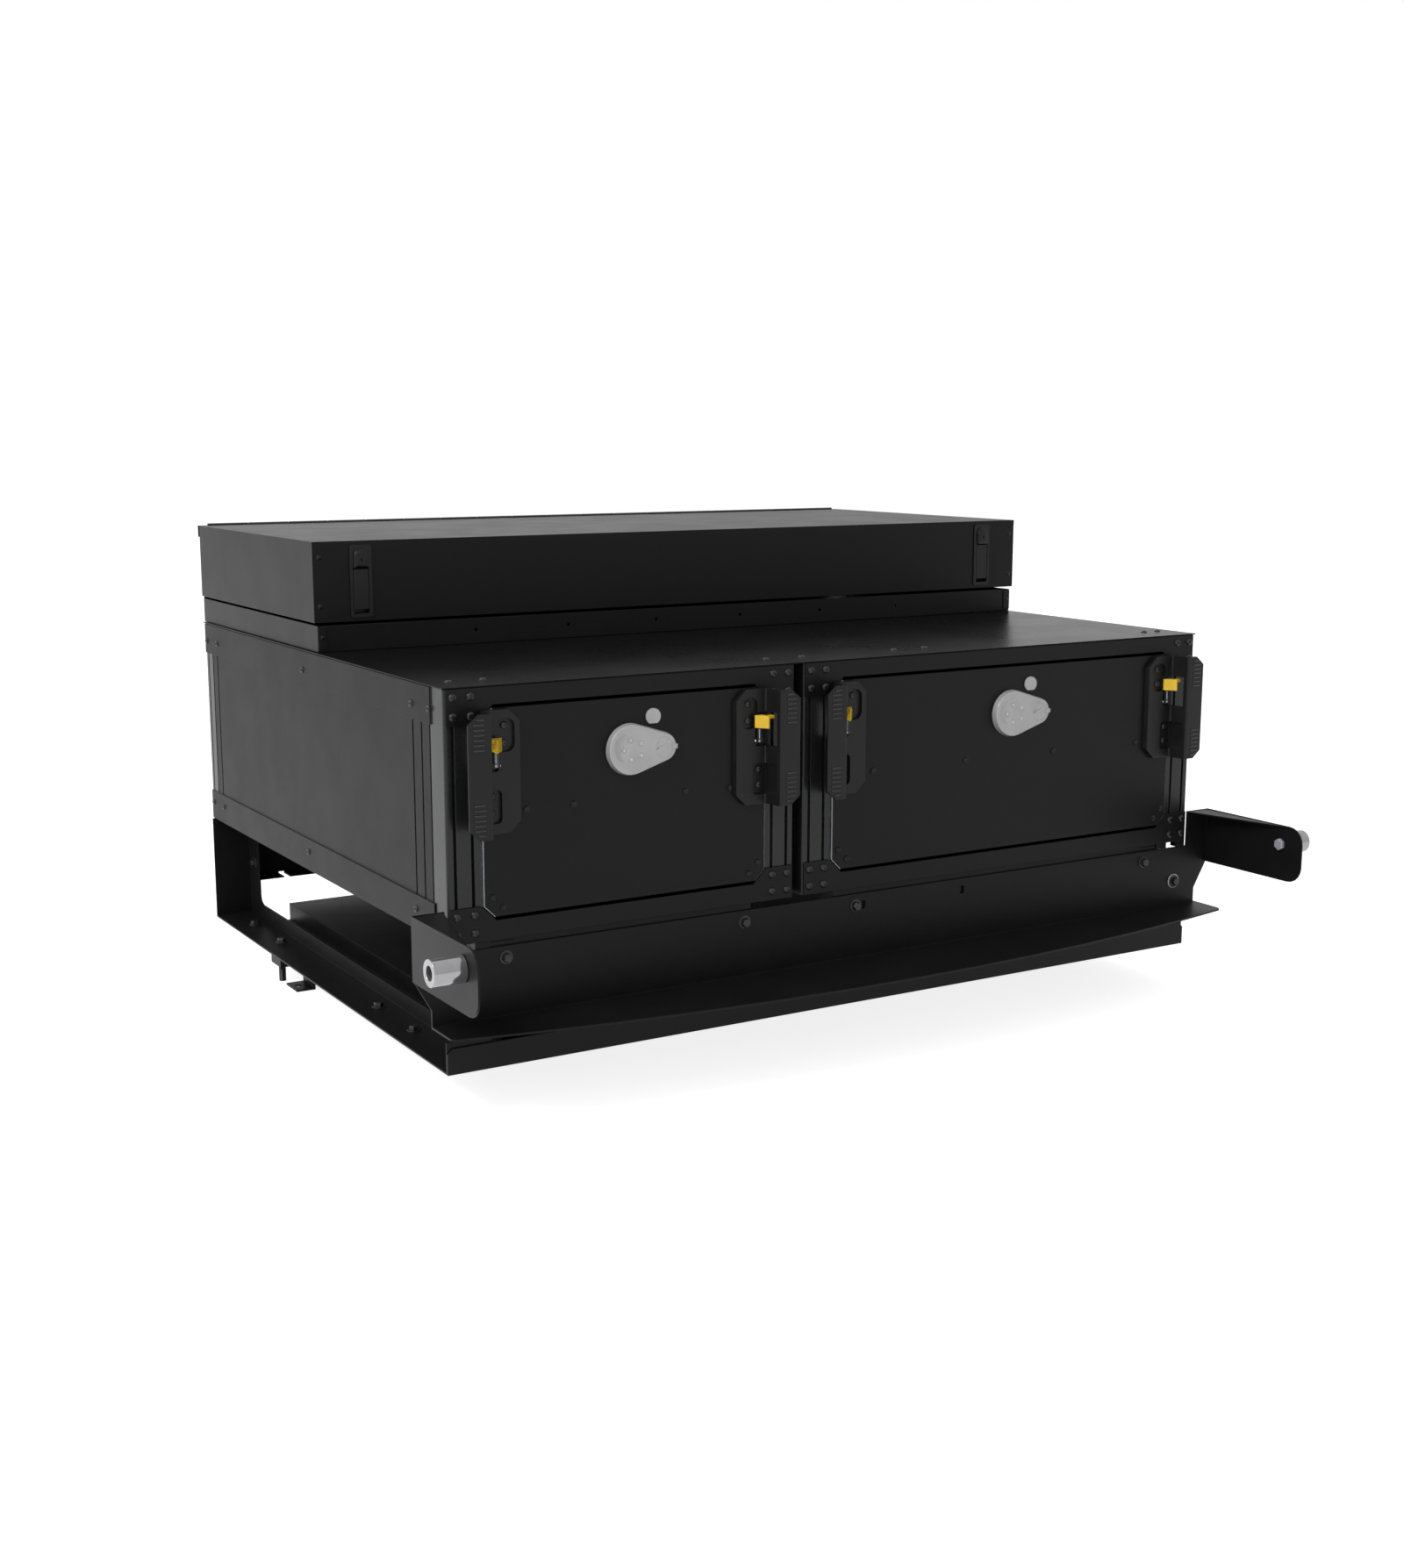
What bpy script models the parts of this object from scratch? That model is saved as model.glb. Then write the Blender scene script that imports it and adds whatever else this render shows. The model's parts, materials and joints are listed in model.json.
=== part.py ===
"""SUV cargo drawer unit: two drawers side by side, a lidded top box, and a steel base.

Metres, +Z up, +X to the unit's right, and the drawers open towards -Y.  The origin is the
centre of the rectangle that the unit covers, at the height of the feet.
"""

import math
from dataclasses import dataclass

import bmesh
import bpy
from mathutils import Matrix, Vector

MM = 0.001

# Shared fits
SEAT_GAP = 0.3 * MM             # between two pieces that rest on each other
RUNNING_GAP = 0.5 * MM          # between two pieces that slide on each other
OVERRUN = 2.0 * MM              # how far a cutter runs past what it cuts
FOLD_STEP = 0.4 * MM            # between the faces of two sheets that are folded into one
MERGE_DISTANCE = 0.005 * MM
SHARP_ANGLE = math.radians(30)
FLAT_ANGLE = math.radians(0.05)

# Cabinet: two modules under one top sheet
CABINET_WIDTH = 1175.0 * MM
CABINET_DEPTH = 904.0 * MM
CABINET_HEIGHT = 305.0 * MM
LEFT_MODULE_WIDTH = 482.6 * MM
MODULE_GAP = 13.6 * MM
SHEET = 2.0 * MM
TOP_SHEET = 1.7 * MM
COLUMN_WIDTH = 44.5 * MM
FRONT_COLUMN_DEPTH = 104.0 * MM
REAR_COLUMN_DEPTH = 68.0 * MM
COLUMN_CORNER_RADIUS = 3.0 * MM
SLOT_NECK_WIDTH = 3.6 * MM
SLOT_NECK_DEPTH = 2.4 * MM
SLOT_SHOULDER = 0.3 * MM        # slope of the slot's inner shoulders
SLOT_CHAMBER_WIDTH = 8.0 * MM
SLOT_CHAMBER_DEPTH = 3.4 * MM
FRONT_SLOT_INSETS = (10.8 * MM, 33.2 * MM)
FRONT_SIDE_SLOT_INSETS = (39.8 * MM, 64.6 * MM, 90.8 * MM)
REAR_SIDE_SLOT_INSETS = (12.6 * MM, 33.4 * MM, 56.0 * MM)
SIDE_RAIL_HEIGHT = 44.5 * MM
SIDE_RAIL_FRONT_INSET = 34.6 * MM
SIDE_RAIL_REAR_INSET = 4.0 * MM
TOP_FACE_RAIL_HEIGHT = 21.0 * MM
BOTTOM_FACE_RAIL_HEIGHT = 24.4 * MM
FACE_RAIL_INSET = 2.2 * MM
FACE_RAIL_LIP = 72.0 * MM
GUSSET_HEIGHT = 43.3 * MM
GUSSET_WIDTH = 40.0 * MM
GUSSET_RUN = 19.0 * MM

# Drawers
FACE_THICKNESS = 3.0 * MM
FACE_SIDE_GAP = 1.0 * MM
FACE_TOP_GAP = 4.2 * MM
FACE_BOTTOM_GAP = 4.2 * MM
FACE_CORNER_GAP = 1.6 * MM
BOX_WALL = 1.5 * MM
BOX_RIM = 12.0 * MM
BOX_TOP_DROP = 18.0 * MM        # below the drawer face's top edge
BOX_BOTTOM_RISE = 2.0 * MM      # above the face's bottom edge
BOX_REAR_GAP = 24.0 * MM
DRAWER_TRAVEL = 700.0 * MM

# Telescopic slides, one each side of each drawer
SLIDE_DEPTH = 19.0 * MM
SLIDE_STEEL = 2.2 * MM
SLIDE_HEIGHT = 60.0 * MM
SLIDE_RISE = 120.0 * MM
SLIDE_FRONT_INSET = 4.0 * MM
SLIDE_REAR_INSET = 50.0 * MM
SLIDE_MIDDLE_INSET = 3.4 * MM
SLIDE_FLANGE_STOP = 2.0 * MM

# Grips
GRIP_HEIGHT = 147.0 * MM
GRIP_BOTTOM = 129.5 * MM        # above the cabinet's bottom
GRIP_OUTER_INSET = 13.9 * MM    # wing edge, in from the module's side
GRIP_REACH = 80.3 * MM          # from the wing's edge to the base plate's far edge
GRIP_WING_WIDTH = 30.3 * MM
GRIP_STANDOFF = 34.7 * MM       # from the drawer face to the wing's outer surface
GRIP_WALL = 4.0 * MM
GRIP_BASE = 7.5 * MM
GRIP_RISER_LEAN = 4.5 * MM      # riser's foot, further in than its top
GRIP_BEND = 3.0 * MM
GRIP_WING_CHAMFER = 14.0 * MM
GRIP_WING_CHAMFER_HEIGHT = 12.0 * MM
GRIP_BASE_CHAMFER = 16.0 * MM
GRIP_FLOOR = 3.0 * MM           # left under the pockets
GRIP_POCKET_WIDTH = 24.2 * MM
GRIP_POCKET_HEIGHT = 40.0 * MM
GRIP_POCKET_RADIUS = 10.0 * MM
GRIP_UPPER_POCKET_RISE = 96.8 * MM
GRIP_UPPER_POCKET_INSET = 47.2 * MM
GRIP_LOWER_POCKET_RISE = 12.5 * MM
GRIP_LOWER_POCKET_END = 54.8 * MM
GRIP_RISER_SKIN = 1.8 * MM
GRIP_WINDOW_HEIGHT = 43.0 * MM
GRIP_WINDOW_RISE = 74.5 * MM
GRIP_WINDOW_END = 51.3 * MM
GRIP_WINDOW_RADIUS = 3.0 * MM
RIB_COUNT = 7
RIB_PITCH = 5.9 * MM
RIB_WIDTH = 2.4 * MM
RIB_LENGTH = 14.0 * MM
RIB_HEIGHT = 0.7 * MM
RIB_END_INSET = 6.0 * MM
RIB_INSET = 6.5 * MM            # from the wing's free edge to the ribs
RIB_EDGE = 2.5 * MM

# Triggers in the grips
TRIGGER_WIDTH = 12.5 * MM
TRIGGER_HEIGHT = 16.0 * MM
TRIGGER_DEPTH = 16.0 * MM
TRIGGER_EDGE = 2.8 * MM         # depth of the far edge, where the slanted face ends
TRIGGER_NOSE = 1.5 * MM         # width of the flat nose beside the slanted face
TRIGGER_TAB_TIP = 29.2 * MM     # tab's end, in from the wing's free edge
TRIGGER_TAB_HEIGHT = 4.6 * MM
TRIGGER_TAB_DEPTH = 7.5 * MM
TRIGGER_TAB_SETBACK = 3.0 * MM  # tab's behind face, in front of the block's
TRIGGER_STANDOFF = 9.0 * MM     # behind face of the block, off the drawer face
TRIGGER_RISE = 98.5 * MM        # block's lower edge above the grip's lower edge
TRIGGER_GAP = 5.7 * MM          # block to riser's foot
TRIGGER_ARM = 5.0 * MM
PIVOT_INSET = 5.5 * MM          # pin's middle, in from the block's riser side
PIVOT_STANDOFF = 8.0 * MM       # pin axis off the drawer face
PIVOT_DROP = 17.0 * MM          # pin axis below the block
PIVOT_RADIUS = 3.2 * MM
PIVOT_PIN_RADIUS = 1.5 * MM
PIVOT_EAR = 1.8 * MM
TRIGGER_SWING_DEG = 12.0

# Push-button locks
LOCK_BIG_RADIUS = 30.5 * MM
LOCK_SMALL_RADIUS = 17.0 * MM
LOCK_SPAN = 44.2 * MM           # between the two end centres
LOCK_RIM = 1.5 * MM
LOCK_RIM_THICKNESS = 2.2 * MM
LOCK_THICKNESS = 8.6 * MM
LOCK_RISE = 214.5 * MM          # above the cabinet's bottom
LOCK_DISH_RADIUS = 21.5 * MM
LOCK_DISH_FLOOR_RADIUS = 17.0 * MM
LOCK_DISH_DEPTH = 2.2 * MM
LOCK_DISH_SHIFT = 1.6 * MM
BUTTON_COUNT = 5
BUTTON_SIDES = 8
BUTTON_RING = 12.4 * MM
BUTTON_RADIUS = 3.0 * MM
BUTTON_TOP_SHARE = 0.66
BUTTON_STAND = 1.8 * MM
BUTTON_WELL = 3.6 * MM
BUTTON_TRAVEL = 1.4 * MM
LEVER_RADIUS = 12.5 * MM
LEVER_THICKNESS = 3.2 * MM
LEVER_PROUD = 0.8 * MM
LEVER_BAR_WIDTH = 7.2 * MM
LEVER_BAR_REACH = 19.0 * MM
LEVER_BAR_HEIGHT = 1.8 * MM
CAP_RADIUS = 9.8 * MM
CAP_THICKNESS = 2.4 * MM
CAP_FLAT_SHARE = 0.84
CAP_SIDES = 20
CAP_RISE = 252.3 * MM
CAP_OFFSET = 33.2 * MM

# Top box: a tray with a lid that is hinged at the rear
BOX_SHEET = 2.0 * MM
LID_SIDE_OVERHANG = 2.5 * MM    # past the cabinet's side
LID_FRONT = 410.0 * MM          # behind the cabinet's front
LID_REAR_INSET = 0.5 * MM       # in from the cabinet's rear
LID_BOTTOM = 344.5 * MM         # above the cabinet's bottom
LID_TOP = 451.0 * MM
LID_REAR_FLANGE = 17.0 * MM
TRAY_SIDE_INSET = 4.5 * MM      # in from the lid's side
TRAY_FRONT_INSET = 2.0 * MM
TRAY_TOP = 340.5 * MM
TRAY_REAR_OVERHANG = 7.0 * MM   # past the cabinet's rear
TRAY_BACK_TOP = 451.0 * MM
TAB_WIDTH = 12.5 * MM
TAB_THICKNESS = 1.6 * MM
STRIP_HOLE_COUNT = 6
STRIP_HOLE_PITCH = 143.0 * MM
STRIP_HOLE_RADIUS = 2.4 * MM
STRIP_HOLE_DROP = 16.5 * MM     # below the tray's rim
HINGE_LEAF = 1.2 * MM
HINGE_RADIUS = 2.4 * MM
HINGE_PIN_RADIUS = 0.9 * MM
HINGE_SIDE_INSET = 13.5 * MM
HINGE_KNUCKLES = 18
HINGE_SIDES = 8
HINGE_KNUCKLE_GAP = 0.6 * MM
HINGE_CLEAR = 0.4 * MM
LID_OPEN_DEG = 90.0

# Paddle latches on the lid
LATCH_WIDTH = 31.0 * MM
LATCH_HEIGHT = 96.0 * MM
LATCH_PLATE = 1.6 * MM
LATCH_INSET = 66.0 * MM         # latch centre, in from the lid's side
LATCH_BODY_WIDTH = 26.0 * MM
LATCH_BODY_DEPTH = 13.0 * MM
LATCH_WALL = 1.5 * MM
LATCH_CORNER = 3.0 * MM
LATCH_LEVER_WIDTH = 21.0 * MM
LATCH_LEVER_HEIGHT = 54.0 * MM
LATCH_LEVER_THICKNESS = 3.0 * MM
LATCH_LEVER_RISE = 10.0 * MM    # lever's lower edge above the plate's lower edge
LATCH_FINGER_GAP = 5.0 * MM
LATCH_ARCH_HEIGHT = 24.0 * MM
LATCH_ARCH_STAND = 1.6 * MM
LATCH_ARCH_SHARE = 0.9
LATCH_KEY_RADIUS = 4.4 * MM
LATCH_OPEN_DEG = 40.0

# Steel base
BASE_HEIGHT = 158.0 * MM
FOOT_DROP = 57.0 * MM           # from the base's underside to the feet
BASE_OVERHANG = 4.4 * MM        # past the cabinet's side
BASE_STEEL = 2.5 * MM
RAIL_WEB_INSET = 52.0 * MM      # web's outer face, in from the cabinet's side
RAIL_TOP_FLANGE = 33.0 * MM
RAIL_REAR_INSET = 7.5 * MM      # in from the cabinet's rear
WINDOW_FRONT = 50.0 * MM
WINDOW_REAR_INSET = 52.0 * MM
WINDOW_BOTTOM = 24.0 * MM       # above the base's underside
WINDOW_TOP = 24.0 * MM          # below the cabinet's bottom
WINDOW_RADIUS = 14.0 * MM
END_PLATE_HEIGHT = 40.0 * MM
FRONT_RAIL_HEIGHT = 32.5 * MM
FRONT_RAIL_NOTCH = 7.0 * MM
FRONT_RAIL_LIP = 36.0 * MM
REAR_BEAM_HEIGHT = 100.0 * MM
REAR_BEAM_FLANGE = 30.0 * MM
FRONT_BEAM_HEIGHT = 60.0 * MM
FRONT_BEAM_INSET = 4.0 * MM
BEAM_NOTCH_WIDTH = 9.0 * MM
BEAM_NOTCH_HEIGHT = 4.0 * MM
BEAM_NOTCH_SIDE = 101.0 * MM
STRIP_CUT_HEIGHT = 16.0 * MM
STRIP_CUT_END = 52.0 * MM
STRIP_CUT_LEFT = 421.0 * MM
STRIP_CUT_RIGHT = 548.0 * MM
COVER_INSET = 86.0 * MM
COVER_FRONT = 44.0 * MM
COVER_REAR_INSET = 89.0 * MM
COVER_HEIGHT = 28.0 * MM        # top, above the base's underside
STUD_REAR_INSET = 217.0 * MM
STUD_SIDE = 28.0 * MM

# Sill plate under the front, with a wing at each end
WEB_TOP = 9.0 * MM              # below the cabinet's bottom
WEB_BEND = 95.0 * MM            # sill flange's top, below the cabinet's bottom
WEB_STEEL = 3.0 * MM
WEB_OVERHANG = 23.0 * MM
WEB_CORNER_DROP = 75.0 * MM
EAR_TOP = 42.5 * MM             # above the cabinet's bottom
EAR_GAP = 1.6 * MM
WING_OVERHANG = 46.0 * MM       # wing's outer face, past the cabinet's side
WING_BOTTOM = 37.0 * MM         # below the cabinet's bottom
WING_REACH = 183.0 * MM
WING_RADIUS = 24.0 * MM
WING_FLANGE_REACH = 158.0 * MM
SILL_END_REACH = 57.0 * MM
SILL_MIDDLE_REACH = 121.0 * MM
SILL_CORNER_RADIUS = 9.0 * MM
SILL_ARC_STEPS = 12
WEB_SLOT_LINE = 24.5 * MM       # below the cabinet's bottom
WEB_SLOT_OFFSETS = (7.5 * MM, 173.5 * MM)
WEB_SLOT_WIDTH = 7.0 * MM
WEB_SLOT_HEIGHT = 11.0 * MM
WEB_HOLE_INSET = 19.0 * MM      # in from the cabinet's right side
WEB_HOLE_RADIUS = 10.5 * MM
WEB_HOLE_DROP = 60.0 * MM
POST_RADIUS = 16.0 * MM
POST_BORE_RADIUS = 8.6 * MM
POST_BORE_DEPTH = 24.0 * MM
POST_LENGTH = 40.0 * MM
POST_REACH = 144.0 * MM
POST_RISE = 15.0 * MM

# Feet: the rear pair under the rails, the front pair under the cover's flanges
FOOT_REAR_INSET = 264.0 * MM
FOOT_WIDTH = 46.0 * MM
FOOT_STEEL = 3.0 * MM
FOOT_OUTER = 25.0 * MM
FOOT_TOP_OUTER = 30.0 * MM
FOOT_HOLE_RADIUS = 5.5 * MM
FOOT_HOLE_SHARE = 0.36
COVER_FOOT_PLACE = 210.0 * MM   # behind the cabinet's front
COVER_FOOT_INSET = 66.5 * MM    # upright's outer face, in from the cabinet's side
COVER_FOOT_REACH = 37.0 * MM
COVER_FOOT_FLANGE = 15.0 * MM
COVER_FOOT_HOLE_SHARE = 0.55
STUD_BOX_LENGTH = 41.0 * MM
STUD_BOX_WIDTH = 19.0 * MM
STUD_BOX_HEIGHT = 31.0 * MM
STUD_RADIUS = 3.0 * MM
STUD_LENGTH = 22.0 * MM

# Places that several pieces share
LEFT = -CABINET_WIDTH / 2
RIGHT = CABINET_WIDTH / 2
LID_REAR = CABINET_DEPTH - LID_REAR_INSET
TRAY_REAR = CABINET_DEPTH + TRAY_REAR_OVERHANG
RAIL_REAR = CABINET_DEPTH - RAIL_REAR_INSET
FRONT = (WING_REACH - TRAY_REAR) / 2
BOTTOM = BASE_HEIGHT + FOOT_DROP
TOP = BOTTOM + CABINET_HEIGHT
BASE_UNDER = BOTTOM - BASE_HEIGHT
FRAME_TOP = TOP - TOP_SHEET - SEAT_GAP
PLATE_OUT = SEAT_GAP + SHEET
FACE_FRONT = FRONT - PLATE_OUT
FACE_BACK = FACE_FRONT + FACE_THICKNESS
RAIL_START = FRONT + WEB_STEEL + SEAT_GAP

STEEL_BLACK = (0.018, 0.018, 0.019)
COLUMN_BLACK = (0.035, 0.036, 0.038)
PLASTIC_BLACK = (0.022, 0.022, 0.023)
ZINC = (0.55, 0.56, 0.57)
SATIN_SILVER = (0.42, 0.42, 0.42)
POLISHED = (0.75, 0.75, 0.76)
YELLOW = (0.58, 0.36, 0.02)

PLANES = {
    "XY": Matrix(((1, 0, 0), (0, 1, 0), (0, 0, 1))),
    "XZ": Matrix(((1, 0, 0), (0, 0, -1), (0, 1, 0))),
    "YZ": Matrix(((0, 0, 1), (1, 0, 0), (0, 1, 0))),
}


@dataclass(frozen=True)
class Module:
    """One drawer module of the cabinet, between two x positions."""

    name: str
    left: float
    right: float

    @property
    def middle(self):
        """x of the module's middle."""
        return (self.left + self.right) / 2

    @property
    def opening(self):
        """Left and right x of the clear width between the columns."""
        return self.left + COLUMN_WIDTH, self.right - COLUMN_WIDTH


MODULES = (
    Module("left", LEFT, LEFT + LEFT_MODULE_WIDTH),
    Module("right", LEFT + LEFT_MODULE_WIDTH + MODULE_GAP, RIGHT),
)


def clear_scene():
    """Removes every object, so that the script builds the same scene each run."""
    for thing in list(bpy.data.objects):
        bpy.data.objects.remove(thing, do_unlink=True)


def collection(name):
    """Gives the collection of that name, linked to the scene."""
    group = bpy.data.collections.get(name) or bpy.data.collections.new(name)
    if group.name not in bpy.context.scene.collection.children:
        bpy.context.scene.collection.children.link(group)
    return group


def finished(mesh_builder):
    """Turns a bmesh into mesh data with its doubles merged and its faces pointing out."""
    bmesh.ops.remove_doubles(mesh_builder, verts=mesh_builder.verts, dist=MERGE_DISTANCE)
    bmesh.ops.recalc_face_normals(mesh_builder, faces=mesh_builder.faces)
    mesh = bpy.data.meshes.new("solid")
    mesh_builder.to_mesh(mesh)
    mesh_builder.free()
    return mesh


def evaluated_mesh(thing):
    """Gives an object's evaluated mesh in its own space, and removes the object."""
    bpy.context.scene.collection.objects.link(thing)
    bpy.context.view_layer.update()
    graph = bpy.context.evaluated_depsgraph_get()
    mesh = bpy.data.meshes.new_from_object(thing.evaluated_get(graph))
    bpy.data.objects.remove(thing, do_unlink=True)
    return mesh


def plain_slab(outline, thickness):
    """A bmesh of a flat outline without holes, made solid about z = 0."""
    builder = bmesh.new()
    under, over = ([builder.verts.new((across, up, height)) for across, up in outline]
                   for height in (-thickness / 2, thickness / 2))
    builder.faces.new(under)
    builder.faces.new(over)
    for index in range(len(outline)):
        builder.faces.new((under[index - 1], under[index], over[index], over[index - 1]))
    return builder


def pierced_slab(loops, thickness):
    """A bmesh of a flat outline with holes, made solid about z = 0."""
    curve = bpy.data.curves.new("outline", "CURVE")
    curve.dimensions = "2D"
    curve.fill_mode = "BOTH"
    curve.extrude = thickness / 2
    for loop in loops:
        spline = curve.splines.new("POLY")
        spline.points.add(len(loop) - 1)
        for point, (across, up) in zip(spline.points, loop):
            point.co = (across, up, 0, 1)
        spline.use_cyclic_u = True
    mesh = evaluated_mesh(bpy.data.objects.new("outline", curve))
    bpy.data.curves.remove(curve)
    builder = bmesh.new()
    builder.from_mesh(mesh)
    bpy.data.meshes.remove(mesh)
    return builder


def prism(plane, outline, low, high, holes=()):
    """A flat outline, with holes, made solid between two heights along the plane's normal.

    The XY plane's outline is (x, y), the XZ plane's (x, z) and the YZ plane's (y, z).
    """
    builder = pierced_slab((outline, *holes), high - low) if holes else plain_slab(outline, high - low)
    normal = Vector((1, 1, 1)) - Vector([abs(v) for v in PLANES[plane].col[0]]) \
        - Vector([abs(v) for v in PLANES[plane].col[1]])
    builder.transform(Matrix.Translation(normal * (low + high) / 2) @ PLANES[plane].to_4x4())
    bmesh.ops.remove_doubles(builder, verts=builder.verts, dist=MERGE_DISTANCE)
    bmesh.ops.dissolve_limit(builder, angle_limit=FLAT_ANGLE, verts=builder.verts, edges=builder.edges)
    return finished(builder)


def box(low, high):
    """A plain block between two corners."""
    low, high = Vector(low), Vector(high)
    builder = bmesh.new()
    bmesh.ops.create_cube(builder, size=1)
    bmesh.ops.scale(builder, vec=high - low, verts=builder.verts)
    bmesh.ops.translate(builder, vec=(low + high) / 2, verts=builder.verts)
    return finished(builder)


def cylinder(axis, centre, low, high, radius, sides=16, end_radius=None):
    """A round bar along X, Y or Z, between two heights on that axis."""
    index = "XYZ".index(axis)
    turns = (Matrix.Rotation(math.pi / 2, 4, "Y"), Matrix.Rotation(-math.pi / 2, 4, "X"), Matrix())
    place = Vector(centre)
    place[index] = (low + high) / 2
    builder = bmesh.new()
    bmesh.ops.create_cone(
        builder, cap_ends=True, segments=sides, radius1=radius,
        radius2=radius if end_radius is None else end_radius, depth=high - low)
    builder.transform(Matrix.Translation(place) @ turns[index])
    return finished(builder)


def turned(axis, centre, profile, sides):
    """A turned solid: a profile of (height, radius) pairs swept round a line parallel to an axis."""
    builder = bmesh.new()
    points = [builder.verts.new((radius, 0, height)) for height, radius in profile]
    low = builder.verts.new((0, 0, profile[0][0]))
    high = builder.verts.new((0, 0, profile[-1][0]))
    loop = [low, *points, high]
    edges = [builder.edges.new(pair) for pair in zip(loop, loop[1:])]
    bmesh.ops.spin(builder, geom=loop + edges, cent=(0, 0, 0), axis=(0, 0, 1), angle=2 * math.pi,
                   steps=sides, use_merge=True)
    turns = {"X": Matrix.Rotation(math.pi / 2, 4, "Y"), "Y": Matrix.Rotation(-math.pi / 2, 4, "X"),
             "Z": Matrix()}
    place = Vector(centre)
    place["XYZ".index(axis)] = 0
    builder.transform(Matrix.Translation(place) @ turns[axis])
    return finished(builder)


def joined(meshes):
    """Several separate solids as one mesh."""
    builder = bmesh.new()
    for mesh in meshes:
        builder.from_mesh(mesh)
    mesh = bpy.data.meshes.new("solids")
    builder.to_mesh(mesh)
    builder.free()
    return mesh


def shell(low, high, wall, open_sides):
    """A folded sheet box with the named sides open, its outside at the two corners."""
    builder = bmesh.new()
    bmesh.ops.create_cube(builder, size=1)
    sides = {"-X": (-1, 0, 0), "+X": (1, 0, 0), "-Y": (0, -1, 0), "+Y": (0, 1, 0),
             "-Z": (0, 0, -1), "+Z": (0, 0, 1)}
    open_normals = [Vector(sides[side]) for side in open_sides]
    gone = [face for face in builder.faces if any(face.normal.dot(n) > 0.5 for n in open_normals)]
    bmesh.ops.delete(builder, geom=gone, context="FACES")
    low, high = Vector(low), Vector(high)
    bmesh.ops.scale(builder, vec=high - low, verts=builder.verts)
    bmesh.ops.translate(builder, vec=(low + high) / 2, verts=builder.verts)
    mesh = bpy.data.meshes.new("sheet")
    builder.to_mesh(mesh)
    builder.free()
    sheet = bpy.data.objects.new("sheet", mesh)
    thicken = sheet.modifiers.new("wall", "SOLIDIFY")
    thicken.thickness = wall
    thicken.offset = -1
    thicken.use_even_offset = True
    return evaluated_mesh(sheet)


def rounded(points, radius, steps=3):
    """An outline with each corner replaced by an arc; radius is one size or one for each corner."""
    radii = radius if isinstance(radius, (tuple, list)) else [radius] * len(points)
    outline = []
    for index, point in enumerate(points):
        corner = Vector(point)
        before = (Vector(points[index - 1]) - corner).normalized()
        after = (Vector(points[(index + 1) % len(points)]) - corner).normalized()
        half = before.angle(after) / 2
        if radii[index] <= 0 or half >= math.pi / 2 - 0.01:
            outline.append(tuple(corner))
            continue
        centre = corner + (before + after).normalized() * radii[index] / math.sin(half)
        start = corner + before * radii[index] / math.tan(half) - centre
        sweep = math.pi - 2 * half
        turn = -1 if before.cross(after) > 0 else 1
        for step in range(steps + 1):
            angle = turn * sweep * step / steps
            outline.append((centre.x + start.x * math.cos(angle) - start.y * math.sin(angle),
                            centre.y + start.x * math.sin(angle) + start.y * math.cos(angle)))
    return outline


def rectangle(left, low, right, high):
    """The corners of an upright rectangle."""
    return [(left, low), (right, low), (right, high), (left, high)]


def circle(centre, radius, sides=16):
    """The corners of a regular polygon."""
    return [(centre[0] + radius * math.cos(2 * math.pi * step / sides),
             centre[1] + radius * math.sin(2 * math.pi * step / sides)) for step in range(sides)]


def node(name, mesh, colour, roughness=0.5, metallic=0.0, pivot=(0, 0, 0)):
    """Adds one named piece, with its own material and its origin at the pivot."""
    mesh.name = name
    mesh.transform(Matrix.Translation(-Vector(pivot)))
    mesh.shade_smooth()
    mesh.set_sharp_from_angle(angle=SHARP_ANGLE)
    thing = bpy.data.objects.new(name, mesh)
    thing.location = pivot
    material = bpy.data.materials.new(name)
    material.use_nodes = True
    shader = material.node_tree.nodes["Principled BSDF"]
    shader.inputs["Base Color"].default_value = (*colour, 1)
    shader.inputs["Roughness"].default_value = roughness
    shader.inputs["Metallic"].default_value = metallic
    mesh.materials.clear()
    mesh.materials.append(material)
    collection("cargo_drawer_unit").objects.link(thing)
    return thing


def combine(thing, mesh, operation):
    """Adds a Boolean to a piece: UNION folds a second sheet on, DIFFERENCE cuts."""
    tool = bpy.data.objects.new(thing.name + "_tool", mesh)
    tool.hide_render = True
    tool.display_type = "WIRE"
    collection("cutters").objects.link(tool)
    step = thing.modifiers.new(operation.lower(), "BOOLEAN")
    step.operation = operation
    step.solver = "EXACT"
    step.object = tool
    return tool


def mirrored(points):
    """An outline reflected about x = 0, in the same turning direction."""
    return [(-across, up) for across, up in reversed(points)]


# Cabinet frame


def slot_points(place):
    """A T slot in an edge that runs along +u at v = 0 and opens towards -v."""
    neck, chamber = SLOT_NECK_WIDTH / 2, SLOT_CHAMBER_WIDTH / 2
    floor = SLOT_NECK_DEPTH + SLOT_CHAMBER_DEPTH
    shoulder = SLOT_NECK_DEPTH + SLOT_SHOULDER
    return [(place - neck, 0), (place - neck, SLOT_NECK_DEPTH), (place - chamber, shoulder),
            (place - chamber, floor), (place + chamber, floor), (place + chamber, shoulder),
            (place + neck, SLOT_NECK_DEPTH), (place + neck, 0)]


def column_outline(depth, side_insets):
    """A slotted column in plan, from the back of its outer side round to its inner side.

    Its outer corner is at (0, 0), its width runs along u and its depth along v.
    """
    outline = []
    for inset in sorted(side_insets, reverse=True):
        outline += [(inward, along) for along, inward in reversed(slot_points(inset))]
    outline += rounded([(0, COLUMN_CORNER_RADIUS * 2), (0, 0), (COLUMN_CORNER_RADIUS * 2, 0)],
                       (0, COLUMN_CORNER_RADIUS, 0), 2)[1:-1]
    for inset in FRONT_SLOT_INSETS:
        outline += slot_points(inset)
    return outline + [(COLUMN_WIDTH, 0), (COLUMN_WIDTH, depth), (SHEET, depth)]


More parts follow.
